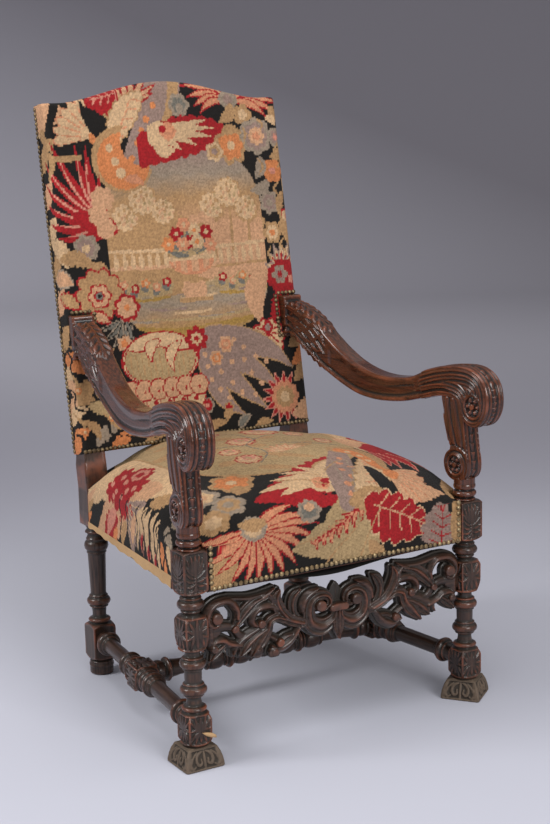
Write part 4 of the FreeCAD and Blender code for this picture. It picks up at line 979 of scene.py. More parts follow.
    # Lower left: fruit in scalloped leaves, and a thicket of small leaves
    dome = np.hypot((x + 78) / 84, (t - 172) / 56)
    lay((dome < 1.05) & (t > 118), "red")
    lay((dome < 1.0) & (t > 118), "cream")
    rim = 198 - 0.06 * (x + 78) - 10 * np.abs(np.sin((x + 170) / 29))
    lay((dome < 0.97) & (t < rim + 2.8), "red")
    lay((dome < 0.94) & (t < rim), "olive")
    lay((dome < 0.92) & (t < rim - 3) & (np.abs(x / 13 + 0.3 * (t - 164) / 36) % 1 < 0.2), "camel")
    for root, tip, bend in (((-74, 214), (-98, 166), -16), ((-26, 208), (-50, 142), -18)):
        leaf(root, tip, bend, 13, "red cream", rim=2.6)
    for row, (height, first, last) in enumerate(((66, -104, 2), (88, -130, 22), (112, -152, 26))):
        for spot in np.arange(first, last, 31):
            blossom((spot, height), 22, 6, "red")
            blossom((spot, height), 19.5, 6, ("peach", "cream", "peach")[row])
            blossom((spot, height - 4), 6 if row == 1 else 3, 4, "red")
    blossom((8, 206), 24, 8, "red red cream red", 0.18)
    for root, tip, half, wool in (
        ((-300, 196), (-242, 160), 24, "orange"), ((-300, 150), (-258, 96), 20, "peach"),
        ((-266, 100), (-196, 146), 28, "camel"), ((-304, 60), (-246, 90), 20, "cream"),
        ((-246, 96), (-190, 62), 18, "olive"), ((-296, 10), (-246, 50), 22, "orange"),
        ((-240, 14), (-172, 54), 18, "grey"), ((-200, 112), (-162, 96), 14, "orange"),
        ((-206, -4), (-140, 34), 17, "orange"), ((-226, 170), (-178, 204), 15, "camel"),
        ((-258, 66), (-228, 24), 12, "camel"), ((-130, 2), (-60, 30), 17, "camel"), ((-60, 0), (6, 34), 15, "peach"),
    ):
        leaf(root, tip, 8, 0.86 * half, wool, 0.25)
    for points in (
        ((-282, 178), (-262, 136), (-276, 108)), ((-246, 140), (-214, 124), (-196, 92)),
        ((-290, 84), (-262, 64), (-258, 40)), ((-216, 78), (-188, 46), (-160, 40)),
        ((-176, 160), (-168, 130), (-178, 104)), ((-120, 40), (-90, 22), (-60, 34)),
        ((-280, 220), (-250, 208), (-236, 186)), ((-160, 76), (-136, 52), (-112, 48)),
        ((-30, 20), (-10, 36), (8, 34)),
    ):
        band(points, (1.6, 3.6, 1.6), "camel")
    for points in (
        ((-296, 214), (-270, 192), (-280, 172), (-256, 150)), ((-292, 132), (-272, 120), (-278, 96), (-250, 84)),
        ((-244, 152), (-226, 132), (-232, 112), (-206, 104)), ((-290, 40), (-268, 36), (-262, 16), (-240, 8)),
        ((-226, 66), (-208, 58), (-204, 34), (-182, 28)), ((-170, 26), (-148, 20), (-130, 30), (-104, 14)),
    ):
        band(points, (1.6, 3.4, 3, 1.6), "black")
        blossom((points[1][0] + 9, points[1][1] + 8), 7, 5, "orange cream", 0.1)


def garden(canvas):
    """A quiet garden in the middle of the back: sky, round trees, a terrace, an urn, beds and water."""
    leaf, blossom, band, lay = canvas.leaf, canvas.blossom, canvas.band, canvas.lay
    cx, ct, wide, tall = 18.0, 404.0, 184.0, 190.0
    x, t = canvas.x - cx, canvas.t - ct
    within = np.abs(x / wide) ** 3.4 + np.abs(t / tall) ** 3.4 < 1
    levels = (0, 0.08, 0.18, 0.3, 0.42, 0.55, 0.75, 0.88, 1)
    names = ("ochre", "camel", "grey", "olive", "camel", "peach", "camel", "grey", "mauve")
    height = clamp((t + tall) / (2 * tall) + 0.012 * np.sin(x / 9) * np.sin(t / 7))
    for part in range(3):
        tone = np.interp(height, levels, [canvas.wools[name][part] for name in names])
        canvas.stitches[..., part] = np.where(within, tone, canvas.stitches[..., part])
    canvas.within = within
    for row in range(10):
        stripe = np.abs(t + 152 - row * 10.5 + 2.5 * np.sin(x / 23 + 2 * row)) < 2.2
        lay(stripe & (np.sin(x / 29 + row * 1.9) > 0.05), ("grey", "cream", "mauve")[row % 3])
    lay(np.hypot((x + 70) / 150, (t + 20) / 84) < 1, "camel")
    lay(np.hypot((x - 96) / 130, (t + 20) / 64) < 1, "peach")
    for place, rise, size in (
        (-138, 58, 30), (-96, 92, 33), (-52, 66, 28), (62, 72, 30), (104, 98, 33), (146, 64, 28),
    ):
        spot = (cx + place, ct + rise)
        band((spot, (spot[0] - 2, ct - 30)), (2.6, 3.2), "camel")
        blossom(spot, size, 9, "camel", 0.08)
        blossom((spot[0] - 2, spot[1] + 3), 0.86 * size, 11, "cream", 0.10)
        for number in range(14):
            turn, away = 2.4 * number, size * 0.2 * math.sqrt(number)
            foot = (spot[0] + away * math.cos(turn), spot[1] + away * math.sin(turn))
            leaf(foot, (foot[0] + 4, foot[1] + 9), 0, 3.4, ("camel", "peach", "olive")[number % 3])
    blossom((cx + 30, ct + 20), 40, 9, "peach camel", 0.1)
    for rail, wool, thick in ((-12, "cream", 3.4), (-46, "peach", 4.2), (-53, "camel", 2.4)):
        band(((cx - 190, ct + rail + 6), (cx, ct + rail), (cx + 190, ct + rail + 6)), thick, wool)
    for post in np.arange(-170, 176, 18.5):
        leaf((cx + post, ct - 46), (cx + post, ct - 10), 0, 5.5, "cream")
    # The urn, broad and low on a stepped foot, full of flowers
    lay((np.abs(x) < 30 - 0.4 * np.abs(t + 96)) & (t > -118) & (t < -80), "peach")
    lay((np.abs(x) < 40) & (t > -122) & (t < -112), "camel")
    lay((np.abs(x) < 12) & (t > -82) & (t < -62), "camel")
    lay((np.hypot(x / 52, (t + 34) / 32) < 1) & (t < -30), "salmon")
    lay((np.hypot(x / 46, (t + 34) / 26) < 1) & (t < -34) & (np.sin(x / 4.2) > -0.2), "peach")
    lay((np.abs(x) < 58) & (t > -34) & (t < -26), "cream")
    for tip in arc((cx, ct - 22), 66, 66, 0.25, 2.9, 9):
        leaf((cx, ct - 26), tip, 5, 9, "olive blue", rim=3.2)
    for angle, away, wool in (
        (0.3, 50, "salmon"), (0.8, 58, "red"), (1.3, 48, "cream"), (1.75, 60, "salmon"), (2.2, 50, "red"),
        (2.75, 54, "orange"), (1.5, 22, "red"), (0.9, 28, "cream"), (2.3, 26, "salmon"),
    ):
        spot = (cx + away * math.cos(angle), ct - 20 + away * math.sin(angle))
        middle = "cream" if wool != "cream" else "orange"
        blossom(spot, 14, 6, f"{wool} {wool} {middle}", 0.16)
    for side in (-1, 1):
        for step in range(5):
            spot = (cx + side * (66 + 24 * step), ct - 84 - 9 * (step % 2))
            blossom(spot, 17, 7, "olive blue", 0.12)
            blossom((spot[0] + 3, spot[1] + 9), 9, 5, ("red cream", "salmon cream", "orange cream")[step % 3], 0.14)
        band(((cx + side * 60, ct - 106), (cx + side * 120, ct - 110), (cx + side * 190, ct - 102)), (3, 4, 3),
             "ochre")
    band(((cx - 160, ct - 166), (cx - 30, ct - 178), (cx + 150, ct - 164)), 6, "ochre")
    band(((cx - 120, ct - 150), (cx + 20, ct - 158), (cx + 150, ct - 146)), (2.2, 2.6, 2.2), "olive")
    canvas.within = True


def seat_flank(canvas, side):
    """One flank of the seat: pale leaves, a red splashed flower, a spotted shell and striped fingers."""
    leaf, blossom, band = canvas.leaf, canvas.blossom, canvas.band

    def at(out, up):
        """A place on this flank."""
        return side * out, up

    leaf(at(232, 262), at(306, 640), side * 24, 84, "cream", 0.12)
    leaf(at(250, 300), at(380, 560), -side * 20, 60, "peach", 0.15)
    canvas.shell(at(318, 400), 104, *((205, 290) if side < 0 else (250, 335)), "mauve", "cream")
    for spot, size in (((292, 420), 44), ((268, 380), 26), ((262, 450), 24), ((300, 468), 24), ((322, 398), 24)):
        blossom(at(*spot), size, 7, "red", 0.22)
    for spot in ((270, 420), (298, 440), (288, 396), (306, 410), (262, 444), (276, 376), (312, 452), (284, 470)):
        blossom(at(*spot), 7.5, 4, "pink", 0.1)
    blossom(at(244, 404), 26, 6, "red pink red", 0.12)
    for spot in ((338, 372), (330, 350), (346, 398), (318, 358), (352, 416)):
        blossom(at(*spot), 6, 4, "red peach")
    for root, tip, half in (
        ((300, 300), (396, 322), 10), ((296, 284), (404, 292), 11), ((296, 268), (412, 262), 11),
        ((292, 244), (416, 230), 10), ((300, 224), (412, 200), 10),
    ):
        leaf(at(*root), at(*tip), side * 8, half, "cream")
    for out, up in ((398, 262), (386, 296), (404, 226)):
        leaf(at(out - 30, up), at(out + 16, up - 3), side * 4, 9, "pink red", rim=2.4)
    leaf(at(292, 284), at(236, 250), side * 8, 22, "camel", 0.2)
    leaf(at(366, 470), at(402, 560), -side * 18, 26, "cream peach")
    leaf(at(392, 486), at(412, 566), -side * 10, 13, "pink red")
    leaf(at(352, 430), at(420, 520), side * 14, 34, "peach red", 0.2)
    leaf(at(340, 440), at(396, 500), side * 8, 17, "pink")
    for root, tip, wool in (
        ((330, 330), (392, 352), "peach"), ((352, 384), (410, 412), "camel"), ((340, 196), (404, 168), "orange"),
        ((330, 168), (388, 138), "cream"), ((300, 196), (330, 150), "grey"), ((372, 440), (424, 452), "orange"),
    ):
        leaf(at(*root), at(*tip), side * 7, 13, wool, 0.25)
    for foot in (176, 212, 248, 284, 318, 372, 408):
        band([at(out, foot + rise) for out, rise in ((300, 0), (326, 12), (352, 2), (384, 14), (416, 4))],
             (1.4, 2.6, 2, 2.6, 1.4), "black")
    for step, wool in enumerate(("peach", "camel", "orange", "cream")):
        leaf(at(286 + 22 * step, 560 + 16 * step), at(330 + 22 * step, 680), side * 6, 11, wool)


def seat_motifs(canvas):
    """Flowers and feathers round a faded middle, measured from the middle of the seat's lower front edge."""
    leaf, fan, blossom, band = canvas.leaf, canvas.fan, canvas.blossom, canvas.band
    shell, veins, lay, x, t = canvas.shell, canvas.veins, canvas.lay, canvas.x, canvas.t
    seat_flank(canvas, -1)
    seat_flank(canvas, 1)
    # The middle, sat on until it faded
    worn = np.abs((x + 4) / 206) ** 2.8 + np.abs((t - 486) / 252) ** 2.8
    lay(worn < 1.0, "camel")
    lay(worn < 0.93, "olive")
    drift = np.sin(x / 17 + 3 * np.sin(t / 47)) + np.sin(t / 12 + 2 * np.sin(x / 41))
    lay((worn < 0.9) & (drift > 1.25), "camel")
    for centre, size in (
        ((-70, 330), 25), ((-78, 388), 20), ((-22, 446), 29), ((64, 520), 40), ((143, 392), 20), ((-110, 470), 24),
        ((120, 470), 22), ((-40, 560), 28),
    ):
        blossom(centre, 1.06 * size, 9, "camel", 0.08)
        blossom(centre, size, 9, "red", 0.08)
        blossom(centre, 0.88 * size, 9, "peach cream camel", 0.1)
        blossom((centre[0] + 3, centre[1] + 0.25 * size), 0.5 * size, 7, "pink olive", 0.06)
        band((centre, (centre[0] + 1.6 * size, centre[1] - size), (centre[0] + 2.4 * size, centre[1] - 0.6 * size)),
             1.5, "camel")
    fan((26, 346), arc((26, 346), 50, 44, 0.3, 2.9, 7), 4, 7, "salmon cream", rim=2.6)
    for points in (
        ((-60, 300), (-20, 350), (-30, 410), (10, 450)), ((10, 450), (60, 470), (120, 440)),
        ((-30, 410), (-90, 430), (-130, 410)), ((10, 450), (0, 520), (-60, 590)), ((40, 400), (90, 380), (150, 350)),
    ):
        band(points, 1.5, "blue")
    # Left of the front: blossoms and the great fan
    blossom((-222, 214), 31, 6, "grey cream peach", 0.1)
    blossom((-196, 168), 27, 6, "grey camel grey", 0.12)
    blossom((-236, 142), 26, 6, "camel cream", 0.12)
    blossom((-268, 182), 26, 6, "grey peach", 0.12)
    blossom((-152, 240), 37, 6, "camel orange orange cream", 0.14)
    leaf((-150, 222), (-168, 186), 4, 17, "camel")
    leaf((-252, -8), (-238, 96), -6, 24, "camel")
    fan((-178, 98), ((-296, 122), (-292, 92), (-282, 64), (-258, 36), (-232, 10), (-206, -4), (-178, -2), (-148, 0),
                     (-120, 2), (-92, 14), (-70, 38), (-52, 62), (-46, 88), (-62, 110), (-84, 138)), 9, 10,
        "red salmon", rim=2.6)
    blossom((-178, 102), 25, 7, "grey cream grey")
    leaf((-150, 112), (-206, 118), 6, 14, "camel")
    # Middle of the front: scalloped red leaf with pale flames, olive leaf with a fern on it
    leaf((100, 276), (-156, 156), 26, 52, "red", 0.18, lobes=12)
    leaf((20, 132), (-110, 146), 6, 15, "red", 0.2)
    leaf((-2, 170), (112, 268), 4, 40, "camel cream", rim=6)
    fan((16, 182), ((-136, 178), (-104, 158), (-96, 208), (-62, 232), (-20, 248)), -6, 11, "cream")
    blossom((-8, 178), 30, 5, "cream")
    blossom((-12, 174), 17, 5, "salmon")
    leaf((-14, 164), (12, 182), 3, 8, "red")
    blossom((-62, 116), 23, 8, "grey blue blue", 0.1)
    blossom((-60, 124), 9, 5, "peach")
    leaf((82, 122), (-104, 44), 24, 46, "olive", 0.12, lobes=5)
    leaf((62, 130), (-30, 96), 8, 30, "olive")
    leaf((70, 96), (-16, -4), 14, 52, "olive", 0.1)
    for step in range(7):
        foot = (60 - 17 * step, 116 - 14 * step + 0.8 * step ** 2)
        reach = 46 - 3.5 * step
        for way in ((-0.95, -0.12), (-0.25, -0.95)):
            leaf(foot, (foot[0] + reach * way[0], foot[1] + reach * way[1]), 7 if way[0] < -0.5 else -7, 5.5,
                 "red salmon", rim=2.2)
    band(((112, 296), (72, 232), (40, 176), (22, 118)), (20, 27, 30, 18), "mauve")
    for spot in ((92, 262), (74, 236), (84, 214), (56, 204), (60, 178), (40, 160), (36, 136)):
        blossom(spot, 6.5, 4, "salmon")
    # Right of the front: feather, crescent, shell, carnation leaf and grey leaf
    leaf((44, 122), (136, 256), -22, 40, "camel cream", 0.2)
    for step in range(5):
        band(((66 + 14 * step, 138 + 20 * step), (88 + 10 * step, 134 + 22 * step),
              (100 + 8 * step, 148 + 22 * step)), (1.7, 1.9, 1.7), "salmon")
    band(((124, 318), (158, 300), (164, 250), (150, 196)), (22, 26, 26, 15), "camel")
    band(((126, 312), (148, 288), (150, 246), (144, 198)), (13, 15, 14, 9), "orange")
    for spot in ((138, 298), (150, 270), (149, 240)):
        blossom(spot, 7, 5, "cream")
    leaf((24, 120), (152, 88), 14, 28, "camel")
    leaf((118, 214), (150, 82), -14, 16, "black")
    shell((142, 178), 90, 268, 12, "peach", "salmon")
    leaf((166, 104), (252, 122), 8, 24, "peach", 0.15)
    for turn in np.linspace(-1.35, 0.15, 7):
        band([(148 + away * math.cos(turn), 172 + away * math.sin(turn)) for away in (30, 56, 84)], 1.5, "salmon")
    blossom((152, 172), 17, 4, "orange", 0.08)
    leaf((58, 120), (212, 40), -12, 56, "cream red", 0.24, rim=2.6, lobes=6)
    veins((76, 106), (188, 52), 40, 5, "peach", 1.4)
    leaf((100, 0), (62, 40), 4, 14, "camel")
    leaf((228, -14), (232, 96), 10, 42, "mauve", 0.25, lobes=5)
    veins((228, -4), (232, 82), 30, 5, "red", 1.3)
    leaf((270, -8), (262, 104), 0, 19, "camel")
    for points in (
        ((58, 96), (28, 60), (-10, 30), (-36, 4)), ((86, 92), (60, 44), (44, 10)), ((-4, 84), (-40, 66), (-84, 54)),
    ):
        band(points, 1.5, "camel")
    for points in (((100, 250), (84, 214), (62, 176), (44, 140)), ((70, 260), (50, 214), (34, 170))):
        band(points, 1.4, "grey")
    for points in (
        ((-4, 168), (-40, 190), (-84, 200)), ((0, 196), (-34, 216), (-58, 220)), ((20, 210), (60, 240), (96, 256)),
    ):
        band(points, 1.5, "camel")
    leaf((262, 112), (300, 190), -8, 26, "camel")
    fan((206, 330), ((184, 204), (206, 196), (240, 186), (276, 206), (312, 232), (340, 268), (352, 310), (334, 350)),
        10, 14, "pink red red", rim=2.6)
    leaf((196, 340), (280, 300), 0, 40, "red")
    leaf((196, 330), (188, 420), -6, 26, "peach", 0.2)
    lay((t < 9) & (np.abs(x) < 280), "black")


def wool_colours(canvas, across, up, seed):
    """The wool at each point of a cloth, with the differences from stitch to stitch that old wool has."""
    uneven, faded = 0.46, 0.10
    random = np.random.default_rng(seed)
    shade = 1 + uneven * (random.random(canvas.stitches.shape[:2]) - 0.5)
    fade = 1 + faded * np.sin(canvas.up / 37)[:, None] * np.sin(canvas.across / 53)[None, :]
    stitches = canvas.stitches * (shade * fade)[..., None]
    spacing = canvas.across[1] - canvas.across[0]
    column = np.clip(np.rint((across - canvas.across[0]) / spacing), 0, len(canvas.across) - 1).astype(int)
    row = np.clip(np.rint((up - canvas.up[0]) / spacing), 0, len(canvas.up) - 1).astype(int)
    colour = stitches[row, column].reshape(-1, 3)
    return np.column_stack([colour, np.ones(len(colour))])


def swell(grid, pressure, cap):
    """Let stuffing press a cloth grid outwards from its fixed border, and return how far each point moves."""
    scene = bpy.context.scene
    rows, columns = grid.shape[:2]
    mesh = bpy.data.meshes.new("cloth_on_the_frame")
    mesh.from_pydata(grid.reshape(-1, 3) / 1000, [], grid_faces(rows, columns).tolist())
    cloth = bpy.data.objects.new("cloth_on_the_frame", mesh)
    scene.collection.objects.link(cloth)
    edge = np.zeros((rows, columns), bool)
    edge[[0, 1, 2, -3, -2, -1], :] = True
    edge[:, [0, 1, -2, -1]] = True
    tacked = cloth.vertex_groups.new(name="tacked")
    tacked.add(np.flatnonzero(edge).tolist(), 1.0, "REPLACE")
    stuffing = cloth.modifiers.new("stuffing", "CLOTH")
    for setting, value in (
        ("vertex_group_mass", tacked.name), ("use_pressure", True), ("uniform_pressure_force", pressure),
        ("quality", 6), ("tension_stiffness", 40), ("compression_stiffness", 40), ("bending_stiffness", 2),
    ):
        setattr(stuffing.settings, setting, value)
    stuffing.settings.effector_weights.gravity = 0
    stuffing.collision_settings.use_collision = False
    settled = 20
    for moment in range(1, settled + 1):
        scene.frame_set(moment)
    rested = cloth.evaluated_get(bpy.context.evaluated_depsgraph_get()).to_mesh()
    places = np.empty(rows * columns * 3)
    rested.vertices.foreach_get("co", places)
    bpy.data.objects.remove(cloth)
    scene.frame_set(1)
    move = places.reshape(grid.shape) * 1000 - grid
    far = np.linalg.norm(move, axis=2, keepdims=True)
    return move * np.minimum(1, cap / np.maximum(far, 1e-6))


def finer(values, rows, columns):
    """A coarse grid of moves spread smoothly over a finer one."""
    for axis, count in ((0, rows), (1, columns)):
        place = np.linspace(0, values.shape[axis] - 1, count)
        low = np.minimum(place.astype(int), values.shape[axis] - 2)
        share = place - low
        share = share.reshape([-1 if k == axis else 1 for k in range(3)])
        values = values.take(low, axis) * (1 - share) + values.take(low + 1, axis) * share
    return np.stack([blurred(blurred(values[..., part], 4), 4) for part in range(3)], 2)


def lean_back(x, behind, height):
    """From the back's own frame, behind and up along the stiles, to the chair's frame."""
    y = STILE_FRONT + height * math.sin(RAKE) + behind * math.cos(RAKE)
    z = RAIL_TOP + height * math.cos(RAKE) - behind * math.sin(RAKE)
    return np.stack(np.broadcast_arrays(x, y, z), -1)


def panel_top(x):
    """Height of the back's camel-hump edge over its shoulders."""
    hump_half = 228
    hump = 0.5 * (1 + np.cos(math.pi * clamp(np.abs(x) / hump_half)))
    return PANEL_SHOULDER + PANEL_RISE * hump ** 0.8


def back_grid(rows, columns):
    """Points of the back's cloth, from rear edge to rear edge, with the canvas place of each."""
    corner, depth, soft, lip = 12.0, 48.0, 10.0, 0.06
    proud, fullness, top_turn, foot_turn = 8, 12, 40.0, 26.0
    width = 2 * PANEL_HALF
    span = width - 2 * corner + math.pi * corner + 2 * (depth - corner)
    s = np.linspace(-span / 2, span / 2, columns)[None, :]
    reach = np.abs(s) - (width / 2 - corner)
    turn = np.clip(reach / corner, 0, math.pi / 2)
    past = np.maximum(reach - corner * math.pi / 2, 0)
    x = np.sign(s) * (np.minimum(np.abs(s), width / 2 - corner) + corner * np.sin(turn))
    behind_u = corner * (1 - np.cos(turn)) + past
    top = panel_top(x)
    q = np.linspace(-lip, 1 + lip, rows)[:, None]
    over = np.maximum(np.abs(q - 0.5) - 0.5, 0) / lip
    t = clamp(q) * top
    near = np.minimum(t, top - t)
    round_v = np.where(near < soft, soft - np.sqrt(np.maximum(soft ** 2 - (soft - near) ** 2, 0)), 0)
    behind_v = round_v + over * np.where(q > 0.5, top_turn, foot_turn)
    crown = fullness * (1 - (x / PANEL_HALF) ** 2) * (1 - (2 * t / top - 1) ** 8)
    behind = -proud - crown + behind_u + np.where(behind_u > 30, np.minimum(behind_v, 4), behind_v)
    points = lean_back(x + 0 * t, np.minimum(behind, PANEL_REAR), PANEL_BASE + t)
    return points, s + 0 * t, t + np.sign(q - 0.5) * over * top_turn


def seat_crown(x, y):
    """Height of the seat's top, highest a little behind its middle."""
    fullness, highest, across_bend, front_bend, rear_bend = 14, 10, 1700, 3000, 1700
    bend = np.where(y < highest, front_bend, rear_bend)
    return SEAT_CROWN + fullness - x ** 2 / across_bend - (y - highest) ** 2 / bend


def side_line(y):
    """Half the distance between the leg axes, which is smaller towards the back."""
    return FRONT_X - (FRONT_X - BACK_X) * (y - FRONT_Y) / (BACK_Y - FRONT_Y)


def side_edge(y):
    """Height of the needlepoint's lower edge along the seat's sides, where the lining starts."""
    front_height, fall = 341, 13
    return front_height - fall * clamp((y - FRONT_Y) / (BACK_Y - FRONT_Y))


def over_edge(share, out, down, straight):
    """Cloth over a rounded edge and straight down: how far out, how far down and how far along the cloth."""
    arc = math.pi / 2 * math.sqrt((out ** 2 + down ** 2) / 2)
    along = share * (arc + straight)
    turn = clamp(along / arc) * math.pi / 2
    return out * np.sin(turn), down * (1 - np.cos(turn)) + np.maximum(along - arc, 0), along


def seat_grid(rows, columns):
    """Points of the seat's cloth, from the front's lower edge over the crown, with the canvas place of each."""
    q = np.linspace(0, 1, rows)[:, None]
    p = np.linspace(-1, 1, columns)[None, :]
    front_share, rear_share, side_share = 0.28, 0.92, 0.56
    front_out, front_down, side_out, side_down, rear_out, rear_down, rear_tail = 96, 72, 92.0, 58.0, 34, 26, 40
    hem, cloth, over_rail, half_front = 321.0, 2.2, 2.3, 230
    y_rim, y_end = SEAT_FRONT + front_out, SEAT_REAR - rear_out
    face = seat_crown(np.clip(p / side_share, -1, 1) * half_front, y_rim) - front_down - hem
    ahead, drop, s_front = over_edge(clamp(1 - q / front_share), front_out, front_down, face)
    past = clamp((q - rear_share) / (1 - rear_share))
    behind, drop_rear, s_rear = over_edge(past, rear_out, rear_down, rear_tail)
    middle = clamp((q - front_share) / (rear_share - front_share))
    y_flat = y_rim + middle * (y_end - y_rim)
    y = y_flat - ahead + behind
    wide = side_line(y) + HALF_BLOCK - 2
    flank = clamp((np.abs(p) - side_share) / (1 - side_share))
    low = side_edge(y)
    out, fall, s_side = over_edge(flank, side_out, side_down, seat_crown(wide - side_out, y_flat) - side_down - low)
    flat = clamp(np.abs(p) / side_share) * (wide - side_out)
    x = np.sign(p) * (flat + out)
    z = seat_crown(flat, y_flat) - drop - drop_rear - fall
    # The cloth is pulled down towards the posts
    for post_x, post_y, depth, reach in ((FRONT_X - HALF_BLOCK, FRONT_Y + HALF_BLOCK, 18, 52),
                                         (BACK_X - HALF_BLOCK, STILE_FRONT, 34, 70)):
        away = np.hypot(np.abs(x) - post_x, y - post_y)
        z = z - depth * np.exp(-(away / reach) ** 2)
    z = np.maximum(z, np.where(flank > 0, np.where(y < FRONT_Y + HALF_BLOCK, hem + 1, low), hem))
    over_rails = (y > SEAT_FRONT + cloth) & (y < SEAT_REAR - cloth) & (np.abs(x) < wide - cloth)
    z = np.where(over_rails, np.maximum(z, RAIL_TOP + over_rail), z)
    v = s_front.max(axis=0) - s_front + y_flat - y_rim + s_rear
    u = np.sign(p) * (flat + s_side)
    return np.stack(np.broadcast_arrays(x, y, z), -1), u + 0 * v, v + 0 * u


def round_posts(points):
    """Tuck the seat's cloth down beside the leg blocks and stiles, where it is cut to go round them."""
    x, y, z = points[..., 0], points[..., 1], points[..., 2]
    gap, slope, lowest = 1.2, 1.2, 340
    for inner_x, inner_y, sign in ((FRONT_X - HALF_BLOCK - gap, FRONT_Y + HALF_BLOCK + gap, -1),
                                   (BACK_X - HALF_BLOCK - gap, STILE_FRONT - gap, 1)):
        in_x = np.abs(x) - inner_x
        in_y = sign * (y - inner_y)
        inside = (in_x > 0) & (in_y > 0)
        by_x = inside & (in_x < in_y)
        by_y = inside & ~by_x
        z[:] = np.where(inside, np.maximum(z - slope * np.minimum(in_x, in_y), np.minimum(z, lowest)), z)
        x[:] = np.where(by_x, np.sign(x) * inner_x, x)
        y[:] = np.where(by_y, inner_y, y)
    return points


def nails_at(places, size, seed):
    """Domed nail heads at (point, outward direction) places, each knocked in a little differently."""
    tilt, stray, height = 0.10, 0.5, 0.62
    random = np.random.default_rng(seed)
    rings = np.radians((0, 22, 45, 68, 86))
    spokes = np.radians(np.arange(0, 360, 30))
    dome = np.array([(math.sin(r) * math.cos(a), math.sin(r) * math.sin(a), height * math.cos(r) - 0.05)
                     for r in rings[::-1] for a in spokes]) * size / 2
    dome[-len(spokes):, :2] += 0.02 * np.stack([np.cos(spokes), np.sin(spokes)], 1)
    shape = grid_faces(len(rings), len(spokes), True)
    points, faces = [], []
    for number, (place, outward) in enumerate(places):
        outward = np.asarray(outward, float) + tilt * (random.random(3) - 0.5)
        outward /= np.linalg.norm(outward)
        side = np.cross(outward, (0.3, 0.2, 0.93))
        side /= np.linalg.norm(side)
        turn = np.stack([side, np.cross(outward, side), outward])
        points.append(dome @ turn + np.asarray(place) + stray * (random.random(3) - 0.5))
        faces.append(shape + number * len(dome))
    return np.concatenate(points), np.concatenate(faces)


# Materials
def add_node(tree, kind, inputs=None, out=0, **settings):
    """Add a shader node with its settings, link or set its inputs, and return one of its outputs."""
    node = tree.nodes.new("ShaderNode" + kind)
    for name, value in settings.items():
        setattr(node, name, value)
    for name, value in (inputs or {}).items():
        socket = node.inputs[name]
        if isinstance(value, bpy.types.NodeSocket):
            tree.links.new(value, socket)
        elif socket.type == "RGBA":
            socket.default_value = (*value[:3], 1.0)
        else:
            socket.default_value = value
    return node.outputs[out] if node.outputs else None


def start_material(name):
    """An empty material, and the function that adds nodes to it."""
    material = bpy.data.materials.new(name)
    material.use_nodes = True
    material.node_tree.nodes.clear()
    return material, partial(add_node, material.node_tree)


def surfaced(material, add, inputs):
    """End a material with one surface that light falls on."""
    add("OutputMaterial", {"Surface": add("BsdfPrincipled", inputs)})
    return material


def walnut(name, colours, worn, gloss, carved=True):
    """Polished walnut: long dark streaks, red wear with a painted highlight on ridges, old wax, dust and painted shade
    in hollows, a soft shine.
    """
    material, add = start_material(name)
    if carved:
        place = add("Attribute", attribute_name="grain", out="Vector")
        hollow = add("Attribute", attribute_name="hollow", out="Fac")
    else:
        metres = add("TexCoord", out="Object")
        place = add("Mapping", {"Vector": metres, "Scale": (1000, 1000, 1000)})
        hollow = None
    # Streaks about 90 mm long and 5 mm wide
    streaks = add("Mapping", {"Vector": place, "Scale": (0.011, 0.2, 0.2)})
    grain = add("TexNoise", {"Vector": streaks, "Scale": 1.0, "Detail": 6.0, "Roughness": 0.62}, out="Fac")
    spread = add("MapRange", {"Value": grain, "From Min": 0.33, "From Max": 0.68})
    colour = add("Mix", {0: spread, 6: colours[0], 7: colours[1]}, data_type="RGBA", out=2)
    # Pores are a fraction of a millimetre, drawn at 1 mm so that they show
    pores = add("Mapping", {"Vector": place, "Scale": (0.09, 1.0, 1.0)})
    pore = add("TexNoise", {"Vector": pores, "Scale": 1.0, "Detail": 3.0}, out="Fac")
    dull = add("MapRange", {"Value": pore, "To Min": gloss - 0.08, "To Max": gloss + 0.12})
    if hollow is not None:
        # Ridges are rubbed, with a painted highlight, but only in patches about 30 mm wide, and hollows are darkened by
        # dirt and painted shade
        ridge = add("MapRange", {"Value": hollow, "From Min": -0.2, "From Max": -0.9, "To Max": worn})
        patch = add("TexNoise", {"Vector": place, "Scale": 0.03, "Detail": 3.0}, out="Fac")
        often = add("MapRange", {"Value": patch, "From Min": 0.42, "From Max": 0.66, "To Min": 0.05})
        rubbed = add("Math", {0: ridge, 1: often}, operation="MULTIPLY")
        colour = add("Mix", {0: rubbed, 6: colour, 7: colours[2]}, data_type="RGBA", out=2)
        # Painted shade and dirt darken the hollows towards the fourth colour
        dirt_and_shade = add("MapRange", {"Value": hollow, "From Min": 0.02, "From Max": 0.5, "To Max": 0.95})
        colour = add("Mix", {0: dirt_and_shade, 6: colour, 7: colours[3]}, data_type="RGBA", out=2)
        dull = add("MapRange", {"Value": dirt_and_shade, "To Min": dull, "To Max": 0.75})
    bump = add("Bump", {"Height": pore, "Strength": 0.1, "Distance": 0.0006})
    return surfaced(material, add, {
        "Base Color": colour, "Roughness": dull, "Normal": bump, "IOR": 1.5, "Specular IOR Level": 0.25,
        "Coat Weight": max(1 - 1.65 * gloss, 0.05), "Coat Roughness": max(gloss - 0.15, 0.06),
    })


